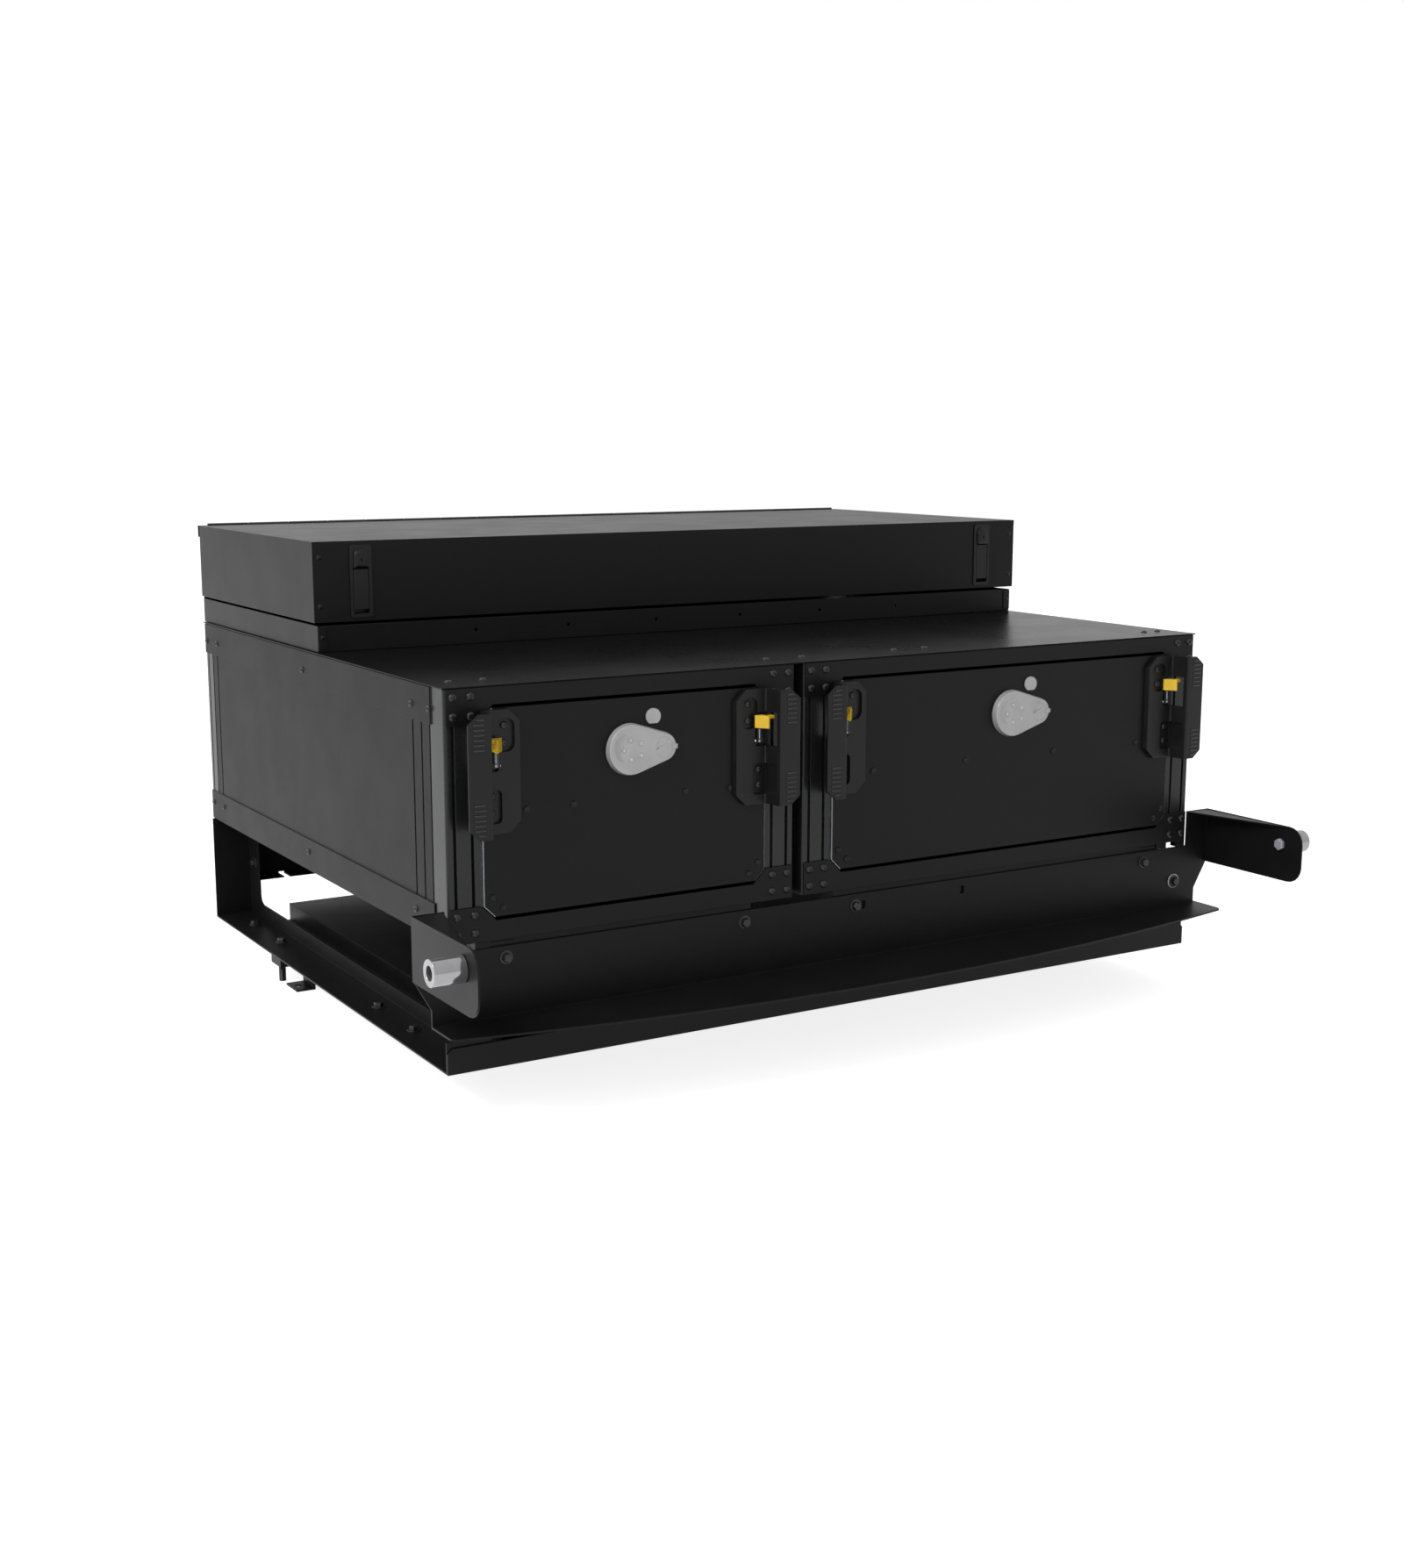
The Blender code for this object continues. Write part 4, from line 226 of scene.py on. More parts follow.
@dataclass(frozen=True)
class Finish:
    """One surface finish: two close colours that a mottle mixes, a grain and its gloss."""

    name: str
    slot: Slot
    base: Colour
    shade: Colour
    roughness: Pair
    metallic: float = 0.0
    grain_size: float = 900.0
    grain_depth: float = 0.03
    mottle_size: float = 14.0
    lines: Lines = Lines.NONE
    line_depth: float = 0.0
    specular: float = 0.5
    coat: float = 0.0
    coat_roughness: float = 0.1

    def material(self) -> bpy.types.Material:
        """Builds the finish's material once, and gives it again on later calls.

        Returns:
            The finish as a Blender material on Object coordinates.
        """
        existing = bpy.data.materials.get(self.name)
        if existing:
            return existing
        made = bpy.data.materials.new(self.name)
        made.use_nodes = True
        tree = made.node_tree
        places = add_node(tree, "ShaderNodeTexCoord").outputs["Object"]
        grain = add_node(tree, "ShaderNodeGroup", {
            "Vector": places, "Grain size": self.grain_size, "Mottle size": self.mottle_size,
        }, node_tree=bpy.data.node_groups.get("surface grain") or grain_group()).outputs
        mix = add_node(tree, "ShaderNodeMix", {
            "Factor": grain["Mottle"], "A": (*self.base, 1), "B": (*self.shade, 1)}, data_type="RGBA")
        smooth, rough = self.roughness
        gloss = add_node(tree, "ShaderNodeMapRange", {
            "Value": grain["Mottle"], "To Min": smooth, "To Max": rough})
        normal = add_node(tree, "ShaderNodeBump", {
            "Strength": 1.0, "Distance": self.grain_depth * MM, "Height": grain["Height"]}).outputs["Normal"]
        if self.lines is not Lines.NONE:
            normal = self.add_lines(tree, places, normal)
        fill(tree.nodes["Principled BSDF"], {
            "Base Color": mix.outputs["Result"], "Roughness": gloss.outputs["Result"], "Normal": normal,
            "Metallic": self.metallic, "Specular IOR Level": self.specular, "Coat Weight": self.coat,
            "Coat Roughness": self.coat_roughness})
        return made

    def add_lines(self, tree: bpy.types.NodeTree, places: bpy.types.NodeSocket,
                  normal: bpy.types.NodeSocket) -> bpy.types.NodeSocket:
        """Adds the drawn lines over the grain's bump.

        Args:
            tree: The material's nodes.
            places: The Object coordinates.
            normal: The grain's normal.

        Returns:
            The normal with both.
        """
        turn = add_node(tree, "ShaderNodeMapping", {"Vector": places, "Rotation": self.lines.value})
        drawn = add_node(tree, "ShaderNodeGroup", {"Vector": turn.outputs["Vector"]},
                         node_tree=bpy.data.node_groups.get("drawn lines") or drawn_group())
        return add_node(tree, "ShaderNodeBump", {
            "Distance": self.line_depth * MM, "Height": drawn.outputs["Height"],
            "Normal": normal}).outputs["Normal"]


POWDER_COAT = Finish("powder coat", Slot.STEEL, (0.0050, 0.0050, 0.0052), (0.0060, 0.0060, 0.0062),
                     (0.40, 0.44), grain_size=1300.0, grain_depth=0.05, specular=0.13)
SMOOTH_COAT = Finish("smooth black coat", Slot.STEEL, (0.0060, 0.0060, 0.0062), (0.0075, 0.0075, 0.0077),
                     (0.28, 0.36), grain_size=700.0, grain_depth=0.03, mottle_size=8.0, specular=0.20)
TOP_COAT = Finish("top sheet coat", Slot.STEEL, (0.0040, 0.0040, 0.0042), (0.0048, 0.0048, 0.0050),
                  (0.27, 0.30), grain_size=1700.0, grain_depth=0.015, mottle_size=9.0, specular=0.05)
ANODISED = Finish("black anodised extrusion", Slot.COLUMN, (0.0130, 0.0134, 0.0142), (0.0160, 0.0165, 0.0173),
                  (0.25, 0.30), grain_size=1500.0, grain_depth=0.012, lines=Lines.UPRIGHT, line_depth=0.008,
                  specular=0.25)
PANEL_COAT = Finish("side panel coat", Slot.COLUMN, (0.0052, 0.0052, 0.0054), (0.0062, 0.0062, 0.0064),
                    (0.42, 0.46), grain_size=1300.0, grain_depth=0.05, specular=0.09)
ZINC_PLATE = Finish("zinc plate", Slot.ZINC, (0.40, 0.41, 0.43), (0.36, 0.37, 0.39), (0.28, 0.36),
                    metallic=0.6, grain_size=500.0, grain_depth=0.01, mottle_size=60.0,
                    lines=Lines.LENGTHWISE, line_depth=0.01)
SATIN_SILVER = Finish("satin silver", Slot.SILVER, (0.41, 0.41, 0.41), (0.37, 0.37, 0.373), (0.34, 0.42),
                      metallic=0.28, grain_size=1800.0, grain_depth=0.02, mottle_size=40.0)
BRIGHT_SILVER = Finish("bright silver", Slot.SILVER, (0.50, 0.50, 0.50), (0.45, 0.45, 0.453), (0.26, 0.34),
                       metallic=0.4, grain_size=1800.0, grain_depth=0.015, mottle_size=60.0)
POLISHED_STEEL = Finish("polished steel", Slot.POLISHED, (0.32, 0.32, 0.33), (0.29, 0.29, 0.30), (0.08, 0.12),
                        metallic=0.75, grain_size=300.0, grain_depth=0.004, mottle_size=50.0,
                        lines=Lines.ACROSS, line_depth=0.01)
GRIP_PLASTIC = Finish("grained grip plastic", Slot.GRIP, (0.0068, 0.0068, 0.0070), (0.0080, 0.0080, 0.0082),
                      (0.34, 0.42), grain_size=1000.0, grain_depth=0.06, mottle_size=30.0, specular=0.20)
# Lighter and glossier than the grip plastic: the lighter colour is a painted sheen on the ribs' rounded tops.
RIB_SHEEN_PLASTIC = Finish("rubbed rib plastic", Slot.GRIP, (0.0140, 0.0140, 0.0143), (0.0170, 0.0170, 0.0173),
                     (0.28, 0.36), grain_size=1000.0, grain_depth=0.03, mottle_size=90.0, specular=0.40)
TRIGGER_YELLOW = Finish("trigger yellow", Slot.TRIGGER, (0.72, 0.46, 0.016), (0.64, 0.40, 0.014),
                        (0.32, 0.40), grain_size=1100.0, grain_depth=0.03, mottle_size=90.0)
BLACK_OXIDE = Finish("black oxide", Slot.COLUMN, (0.010, 0.010, 0.011), (0.018, 0.018, 0.019), (0.28, 0.40),
                     metallic=0.3, grain_size=900.0, grain_depth=0.02, mottle_size=120.0, specular=0.45)
BRIGHT_ZINC = Finish("bright zinc", Slot.ZINC, (0.50, 0.51, 0.53), (0.40, 0.41, 0.43), (0.20, 0.32),
                     metallic=1.0, grain_size=900.0, grain_depth=0.01, mottle_size=200.0)
DULL_ZINC = Finish("dull zinc", Slot.ZINC, (0.045, 0.045, 0.048), (0.034, 0.034, 0.037), (0.30, 0.42),
                   metallic=0.8, grain_size=900.0, grain_depth=0.01, mottle_size=200.0)
PALE_ZINC = Finish("pale zinc", Slot.ZINC, (0.34, 0.35, 0.39), (0.28, 0.29, 0.32), (0.30, 0.40),
                   metallic=0.25, grain_size=900.0, grain_depth=0.01, mottle_size=200.0)


class Mesher:
    """Small mesh steps that the sub-assemblies share."""

    @staticmethod
    def evaluated(mesh: bpy.types.Mesh, modify: dict[str, dict[str, object]]) -> bpy.types.Mesh:
        """Applies modifiers to a mesh.

        Args:
            mesh: The mesh, which is used up.
            modify: Each modifier's type and its settings, in order.

        Returns:
            The result as a plain mesh.
        """
        thing = linked("work", mesh)
        for kind, settings in modify.items():
            step = thing.modifiers.new(kind.lower(), kind)
            for title, value in settings.items():
                setattr(step, title, value)
        bpy.context.view_layer.update()
        graph = bpy.context.evaluated_depsgraph_get()
        made = bpy.data.meshes.new_from_object(thing.evaluated_get(graph))
        bpy.data.objects.remove(thing, do_unlink=True)
        return made

    @staticmethod
    def lathe(profile: Pairs | list[Pair], sides: int) -> bmesh.types.BMesh:
        """Turns a profile round Z.

        Args:
            profile: (radius, height) points from the bottom to the top, either end of which may be a pole.
            sides: The number of sides.

        Returns:
            The turned surface, open where its profile doesn't reach the axis.
        """
        builder = bmesh.new()
        rings = []
        for radius, height in profile:
            ring = arc(radius, 0.0, 2 * math.pi, sides)[:-1] if radius else [(0.0, 0.0)]
            rings.append([builder.verts.new((x, y, height)) for x, y in ring])
        for low, high in zip(rings, rings[1:]):
            for k in range(sides):
                after = (k + 1) % sides
                if len(low) == 1:
                    builder.faces.new((low[0], high[after], high[k]))
                elif len(high) == 1:
                    builder.faces.new((low[k], low[after], high[0]))
                else:
                    builder.faces.new((low[k], low[after], high[after], high[k]))
        return builder

    @staticmethod
    def turned(profile: Pairs | list[Pair], sides: int, seat: Vector, way: Vector | Point) -> bpy.types.Mesh:
        """Turns a profile in millimetres and sets it on a seat.

        Args:
            profile: (radius, height) points.
            sides: The number of sides.
            seat: The place of the profile's zero, in millimetres.
            way: The direction in which its height grows.

        Returns:
            The turned mesh in metres.
        """
        builder = Mesher.lathe(profile, sides)
        turn = Vector(UPWARD).rotation_difference(Vector(way).normalized()).to_matrix().to_4x4()
        bmesh.ops.transform(builder, matrix=Matrix.Scale(MM, 4) @ Matrix.Translation(seat) @ turn,
                            verts=builder.verts)
        return Mesher.plain(builder)

    @staticmethod
    def written(builder: bmesh.types.BMesh, name: str) -> bpy.types.Mesh:
        """Writes a bmesh to a new mesh and frees it.

        Args:
            builder: The bmesh.
            name: The mesh's name.

        Returns:
            The mesh.
        """
        mesh = bpy.data.meshes.new(name)
        builder.to_mesh(mesh)
        builder.free()
        return mesh

    @staticmethod
    def plain(builder: bmesh.types.BMesh) -> bpy.types.Mesh:
        """Closes a bmesh into a mesh whose faces point outwards.

        Args:
            builder: The bmesh, which is freed.

        Returns:
            The mesh.
        """
        bmesh.ops.remove_doubles(builder, verts=builder.verts, dist=0.001 * MM)
        bmesh.ops.recalc_face_normals(builder, faces=builder.faces)
        return Mesher.written(builder, "plain")

    @staticmethod
    def loft(rings: list[list[Vector]]) -> bpy.types.Mesh:
        """Joins rings of equal count with walls, and closes both ends.

        Args:
            rings: Closed rings of points in millimetres.

        Returns:
            The closed mesh in metres.
        """
        builder = bmesh.new()
        made = [[builder.verts.new(point * MM) for point in ring] for ring in rings]
        for near, far in zip(made, made[1:]):
            for k in range(len(near)):
                after = (k + 1) % len(near)
                builder.faces.new((near[k], near[after], far[after], far[k]))
        builder.faces.new(made[0])
        builder.faces.new(made[-1])
        return Mesher.plain(builder)

    @staticmethod
    def hull(points: list[Vector]) -> bpy.types.Mesh:
        """Wraps points in a convex solid.

        Args:
            points: The points in millimetres.

        Returns:
            The solid in metres.
        """
        builder = bmesh.new()
        for point in points:
            builder.verts.new(point * MM)
        bmesh.ops.convex_hull(builder, input=builder.verts)
        return Mesher.plain(builder)

    @staticmethod
    def smooth(mesh: bpy.types.Mesh, angle: float = SHARP_ANGLE) -> None:
        """Shades a mesh smooth, apart from the edges past an angle."""
        mesh.shade_smooth()
        mesh.set_sharp_from_angle(angle=angle)

    @staticmethod
    def joined(meshes: list[bpy.types.Mesh]) -> bpy.types.Mesh:
        """Gathers meshes in one.

        Args:
            meshes: The meshes, which are used up.

        Returns:
            The one mesh.
        """
        builder = bmesh.new()
        for mesh in meshes:
            builder.from_mesh(mesh)
            bpy.data.meshes.remove(mesh)
        return Mesher.written(builder, "joined")

    @staticmethod
    def cut(mesh: bpy.types.Mesh, tool: bpy.types.Mesh) -> bpy.types.Mesh:
        """Takes one closed mesh out of another.

        Args:
            mesh: The mesh to cut, which is used up.
            tool: The shape to take out, which is used up.

        Returns:
            What is left.
        """
        cutter = linked("tool", tool)
        made = Mesher.evaluated(mesh, {"BOOLEAN": {"operation": "DIFFERENCE", "solver": "EXACT",
                                                   "object": cutter}})
        bpy.data.objects.remove(cutter, do_unlink=True)
        return made

    @staticmethod
    def placed(name: str, mesh: bpy.types.Mesh, body: str, finish: Finish,
               replaces: tuple[str, ...] = ()) -> bpy.types.Object:
        """Adds a finished piece to the scene.

        Args:
            name: The piece's name.
            mesh: Its mesh, in place.
            body: The CAD body that it rides on.
            finish: Its finish.
            replaces: CAD nodes that it stands for.

        Returns:
            The piece.
        """
        mesh.name = name
        mesh.materials.clear()
        mesh.materials.append(finish.material())
        thing = linked(name, mesh)
        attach(thing, body)
        if replaces:
            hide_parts(*replaces)
        LOG.info("%s: %d faces on %s", name, len(mesh.polygons), body)
        return thing


@dataclass(frozen=True)
class EdgeBreak:
    """How far the sharp edges of a CAD node are broken, as a press brake, mould or deburring leaves them."""

    width: float = 0.5
    segments: int = 2
    weld: float = 0.004
    flat_angle: float = 0.2
    shortest_edge: float = 2.5
    narrowest_face: float = 2.6

    def apply(self, source: bpy.types.Mesh) -> bpy.types.Mesh:
        """Makes a copy of a solid with its edges broken, and checks that no face covers an opening.

        Args:
            source: The solid's mesh, which stays as it is.

        Returns:
            The softened mesh, from split faces where whole ones gain area.
        """
        whole = self.soften(source, False)
        if self.area(whole) <= self.area(source):
            return whole
        split = self.soften(source, True)
        LOG.info("split faces: area %.4f, was %.4f", self.area(split) / self.area(source),
                 self.area(whole) / self.area(source))
        return min((whole, split), key=self.area)

    @staticmethod
    def area(mesh: bpy.types.Mesh) -> float:
        """Adds up the area of a mesh's triangles."""
        mesh.calc_loop_triangles()
        return sum(triangle.area for triangle in mesh.loop_triangles)

    def soften(self, source: bpy.types.Mesh, split: bool) -> bpy.types.Mesh:
        """Breaks a solid's edges.

        Args:
            source: The solid's mesh, which stays as it is.
            split: Whether concave faces are split into convex ones first.

        Returns:
            The softened mesh.
        """
        width = self.width * MM
        builder = bmesh.new()
        builder.from_mesh(source)
        bmesh.ops.remove_doubles(builder, verts=builder.verts, dist=self.weld * MM)
        bmesh.ops.dissolve_limit(builder, angle_limit=math.radians(self.flat_angle), verts=builder.verts,
                                 edges=builder.edges)
        if split:
            bmesh.ops.connect_verts_concave(builder, faces=builder.faces)
        weights = builder.edges.layers.float.new("bevel_weight_edge")
        for edge in builder.edges:
            sharp = len(edge.link_faces) == 2 and edge.calc_face_angle(0) > SHARP_ANGLE
            if sharp and self.has_room(edge, width):
                edge[weights] = 1.0
        broken = Mesher.evaluated(Mesher.written(builder, "softened"), {"BEVEL": {
            "width": width, "segments": self.segments, "limit_method": "WEIGHT", "use_clamp_overlap": False,
            "miter_outer": "MITER_ARC", "loop_slide": True}})
        Mesher.smooth(broken)
        return Mesher.evaluated(broken, {"WEIGHTED_NORMAL": {"mode": "FACE_AREA", "weight": 100,
                                                             "keep_sharp": True}})

    def has_room(self, edge: bmesh.types.BMEdge, width: float) -> bool:
        """Tells whether both faces beside an edge, and its neighbours, leave room for the break.

        Args:
            edge: The edge.
            width: The break's width in metres.

        Returns:
            True where it fits.
        """
        if edge.calc_length() < self.shortest_edge * width:
            return False
        start = edge.verts[0].co
        along = (edge.verts[1].co - start).normalized()
        for face in edge.link_faces:
            reach = max(((v.co - start) - along * (v.co - start).dot(along)).length for v in face.verts)
            if reach < self.narrowest_face * width:
                return False
        return True


class Head(Enum):
    """Kinds of fastener head, each with its half section for a radius and a height of 1."""

    BUTTON = ((1.0, 0.0), (1.0, 0.16), (0.94, 0.42), (0.80, 0.70), (0.62, 0.88), (0.46, 0.95))
    RIVET = ((1.0, 0.0), (0.97, 0.22), (0.85, 0.55), (0.62, 0.82), (0.32, 0.96), (0.0, 1.0))
    DISHED = ((1.0, 0.0), (1.0, 0.62), (0.95, 0.86), (0.88, 0.94), (0.82, 0.86), (0.66, 0.48), (0.45, 0.22),
              (0.22, 0.12), (0.0, 0.10))
    HEX = ((1.0, 0.0), (1.0, 0.82), (0.84, 1.0), (0.0, 1.0))
    FLANGED = ((0.72, 0.0), (0.72, 0.82), (0.72 * 0.84, 1.0), (0.0, 1.0))


@dataclass(frozen=True)
class Sort:
    """One sort of fastener: its head, finish, size in millimetres and the seed of its heads' turning."""

    head: Head
    finish: Finish
    radius: float = 4.5
    height: float = 2.4
    seed: int = 1


GUSSET_SCREW = Sort(Head.BUTTON, BLACK_OXIDE, 5.1, 2.9, 6)
FRAME_SCREW = Sort(Head.BUTTON, BLACK_OXIDE)
GRIP_SCREW = Sort(Head.BUTTON, BLACK_OXIDE, 4.6, 2.6, 4)
SLIDE_SCREW = Sort(Head.BUTTON, BRIGHT_ZINC, 4.4, 2.4)
BASE_BOLT = Sort(Head.FLANGED, BLACK_OXIDE, 9.0, 6.5, 3)
SILL_END_BOLT = Sort(Head.FLANGED, BLACK_OXIDE, 8.9, 7.5, 2)
POST_BOLT = Sort(Head.HEX, PALE_ZINC, 8.4, 5.5, 5)
LID_RIVET = Sort(Head.RIVET, SMOOTH_COAT, 3.6, 1.4)
TRAY_RIVET = Sort(Head.RIVET, SMOOTH_COAT, 3.2, 1.3)
SLIDE_RIVET = Sort(Head.RIVET, BRIGHT_ZINC, 3.4, 0.7)
FACE_RIVET = Sort(Head.DISHED, SMOOTH_COAT, 4.3, 1.5)


@dataclass
class Fasteners:
    """Places heads of one sort over a body with Geometry Nodes, and keeps one template of each kind."""

    sink: float = 0.15
    socket_depth: float = 0.40
    socket_share: float = 0.86
    flange: Pairs = ((1.0, 0.0), (1.0, 0.12), (0.95, 0.18), (0.6, 0.24))

    def template(self, head: Head) -> bpy.types.Object:
        """Builds a head one unit in radius and in height, its seat at z = 0.

        Args:
            head: The kind of head.

        Returns:
            The template object, which isn't linked to the scene.
        """
        name = f"template_{head.name}"
        if name in bpy.data.objects:
            return bpy.data.objects[name]
        sides = {Head.BUTTON: 24, Head.RIVET: 20, Head.DISHED: 24, Head.HEX: 6, Head.FLANGED: 6}[head]
        builder = Mesher.lathe(head.value, sides)
        if head is Head.BUTTON:
            self.add_socket(builder, head.value[-1], sides)
        elif head is Head.FLANGED:
            flange = Mesher.written(Mesher.lathe(self.flange, 28), "flange")
            builder.from_mesh(flange)
            bpy.data.meshes.remove(flange)
        bmesh.ops.recalc_face_normals(builder, faces=builder.faces)
        mesh = Mesher.written(builder, name)
        Mesher.smooth(mesh, HEAD_SHARP_ANGLE)
        return bpy.data.objects.new(name, mesh)

    def add_socket(self, builder: bmesh.types.BMesh, rim: Pair, sides: int) -> None:
        """Sinks a hexagonal key socket in a head that is open at the top.

        Args:
            builder: The head.
            rim: The opening's radius and height.
            sides: The number of the head's sides.
        """
        radius, top = rim
        ring = sorted((v for v in builder.verts if abs(v.co.z - top) < 1e-6),
                      key=lambda v: math.atan2(v.co.y, v.co.x) % (2 * math.pi))
        inner, floor = [], []
        for k in range(sides):
            angle = 2 * math.pi * k / sides
            off = (angle % (math.pi / 3)) - math.pi / 6
            reach = radius * self.socket_share * math.cos(math.pi / 6) / math.cos(off)
            x, y = reach * math.cos(angle), reach * math.sin(angle)
            inner.append(builder.verts.new((x, y, top)))
            floor.append(builder.verts.new((x, y, top - self.socket_depth)))
        for k in range(sides):
            after = (k + 1) % sides
            builder.faces.new((ring[k], ring[after], inner[after], inner[k]))
            builder.faces.new((inner[k], inner[after], floor[after], floor[k]))
        builder.faces.new(floor)

    def tree(self) -> bpy.types.NodeTree:
        """Builds the Geometry Nodes tree that sets a head on every point, once.

        Returns:
            The tree, with named inputs for the head, its sizes, its turning seed and its finish.
        """
        existing = bpy.data.node_groups.get("set fasteners")
        if existing:
            return existing
        tree = bpy.data.node_groups.new("set fasteners", "GeometryNodeTree")
        for title, kind in (("Points", "Geometry"), ("Head", "Object"), ("Radius", "Float"),
                            ("Height", "Float"), ("Seed", "Int"), ("Finish", "Material")):
            tree.interface.new_socket(title, in_out="INPUT", socket_type=f"NodeSocket{kind}")
        tree.interface.new_socket("Fasteners", in_out="OUTPUT", socket_type="NodeSocketGeometry")
        given = add_node(tree, "NodeGroupInput").outputs
        template = add_node(tree, "GeometryNodeObjectInfo", {"Object": given["Head"]})
        facing = add_node(tree, "GeometryNodeInputNamedAttribute", {"Name": "facing"},
                          data_type="FLOAT_VECTOR")
        aligned = add_node(tree, "FunctionNodeAlignRotationToVector", {"Vector": facing.outputs["Attribute"]},
                           axis="Z")
        spin = add_node(tree, "FunctionNodeRandomValue", {3: math.pi * 2, "Seed": given["Seed"]},
                        data_type="FLOAT")
        turn = add_node(tree, "FunctionNodeAxisAngleToRotation", {"Axis": UPWARD, "Angle": spin.outputs[1]})
        turned = add_node(tree, "FunctionNodeRotateRotation", {
            "Rotation": aligned.outputs[0], "Rotate By": turn.outputs[0]}, rotation_space="LOCAL")
        size = add_node(tree, "ShaderNodeCombineXYZ", {
            "X": given["Radius"], "Y": given["Radius"], "Z": given["Height"]})
        setting = add_node(tree, "GeometryNodeInstanceOnPoints", {
            "Points": given["Points"], "Instance": template.outputs["Geometry"],
            "Rotation": turned.outputs[0], "Scale": size.outputs[0]})
        real = add_node(tree, "GeometryNodeRealizeInstances", {"Geometry": setting.outputs["Instances"]})
        coated = add_node(tree, "GeometryNodeSetMaterial", {
            "Geometry": real.outputs["Geometry"], "Material": given["Finish"]})
        add_node(tree, "NodeGroupOutput", {"Fasteners": coated.outputs["Geometry"]})
        return tree

    def place(self, name: str, sort: Sort, places: Places, body: str) -> bpy.types.Object:
        """Sets heads on a body.

        Args:
            name: The piece's name.
            sort: The sort of fastener.
            places: Each head's seat in metres, and the way it faces.
            body: The CAD body.

        Returns:
            The heads as one piece.
        """
        points = bpy.data.meshes.new("points")
        points.from_pydata([seat - Vector(way) * self.sink * MM for seat, way in places], [], [])
        facing = points.attributes.new("facing", "FLOAT_VECTOR", "POINT")
        for index, (_, way) in enumerate(places):
            facing.data[index].vector = way
        tree = self.tree()
        holder = linked("points", points)
        template = self.template(sort.head)
        bpy.context.scene.collection.objects.link(template)
        step = holder.modifiers.new("fasteners", "NODES")
        step.node_group = tree
        values = {"Head": template, "Radius": sort.radius * MM, "Height": sort.height * MM, "Seed": sort.seed,
                  "Finish": sort.finish.material()}
        for item in tree.interface.items_tree:
            if item.item_type == "SOCKET" and item.in_out == "INPUT" and item.name in values:
                step[item.identifier] = values[item.name]
        bpy.context.view_layer.update()
        graph = bpy.context.evaluated_depsgraph_get()
        mesh = bpy.data.meshes.new_from_object(holder.evaluated_get(graph))
        bpy.data.objects.remove(holder, do_unlink=True)
        bpy.context.scene.collection.objects.unlink(template)
        return Mesher.placed(name, mesh, body, sort.finish)


@dataclass
class Sheetwork:
    """Gives every CAD node its finish and its broken edges."""

    sheet_break: float = 0.45
    column_break: float = 0.6
    moulded_break: float = 0.9
    cast_break: float = 0.7
    small_break: float = 0.3
    strip_start: float = 34.6
    strip_height: float = 44.5
    column_width: float = 44.6
    outer_bar_depth: float = 19.2
    slide_zone: Pair = (303.0, 367.0)
    bar_depth: float = 10.9

    def choices(self) -> list[tuple[str, Finish, EdgeBreak]]:
        """Lists the finish and edge break for each start of a node's name.

        Returns:
            The choices, the first match holding.
        """
        return [
            ("side_frame", ANODISED, EdgeBreak(self.column_break)),
            ("side_post", POLISHED_STEEL, EdgeBreak(self.moulded_break, 3)),
            ("grip", GRIP_PLASTIC, EdgeBreak(self.small_break)),
            ("trigger", TRIGGER_YELLOW, EdgeBreak(self.cast_break)),
            ("slide_middle", ZINC_PLATE, EdgeBreak(self.sheet_break)),
            ("hinge", BLACK_OXIDE, EdgeBreak(self.small_break)),
            ("latch_lever", SMOOTH_COAT, EdgeBreak(self.cast_break, 3)),
            ("latch_housing", SMOOTH_COAT, EdgeBreak(self.cast_break)),
            ("lid", POWDER_COAT, EdgeBreak(self.cast_break, 3)),
            ("top_sheet", TOP_COAT, EdgeBreak(self.sheet_break)),
            ("", POWDER_COAT, EdgeBreak(self.sheet_break)),
        ]

    @staticmethod
    def recolour(piece: bpy.types.Object, finish: Finish, test: Callable[[Vector], bool]) -> None:
        """Gives the faces that pass a test another finish.

        Args:
            piece: The piece.
            finish: The other finish.
            test: Tells from a face's middle, in millimetres, whether the face changes.
        """
        mesh = piece.data
        mesh.materials.append(finish.material())
        index = len(mesh.materials) - 1
        for face in mesh.polygons:
            if test(face.center / MM):
                face.material_index = index

    def is_panel(self, place: Vector) -> bool:
        """Tells whether a place on a side frame is on its sheet panel or strips.

        Args:
            place: The place in millimetres.

        Returns:
            True on the panel or a strip.
        """
        spot = place - CABINET_CORNER
        _, depth, height = CABINET_SIZE
        on_strip = (spot.z < self.strip_height or spot.z > height - self.strip_height) and \
            self.strip_start < spot.y < depth
        return on_strip or self.column_width < spot.y < depth - self.column_width

    def is_slide(self, place: Vector, edges: Pair, depth: float) -> bool:
        """Tells whether a place is on a slide bar fused to a side's outermost part."""
        low, high = self.slide_zone
        return low < place.z < high and (place.x < edges[0] + depth or place.x > edges[1] - depth)

    def build(self) -> None:
        """Replaces each node with its softened copy."""
        for name, node in sorted(frame["nodes"].items()):
            if name.startswith(("lock", "button")):
                continue
            _, finish, softening = next(choice for choice in self.choices() if name.startswith(choice[0]))
            piece = Mesher.placed(f"finished_{name}", softening.apply(node.data), carrier(name), finish,
                                  (name,))
            low, high = corners(name)
            if name.startswith("side_frame"):
                self.recolour(piece, PANEL_COAT, self.is_panel)
                inner = (low.x, high.x + 99) if name.endswith("right") else (low.x - 99, high.x)
                self.recolour(piece, ZINC_PLATE,
                              lambda place: self.is_slide(place, inner, self.outer_bar_depth))
            elif name.startswith("drawer_box"):
                self.recolour(piece, ZINC_PLATE,
                              lambda place: self.is_slide(place, (low.x, high.x), self.bar_depth))


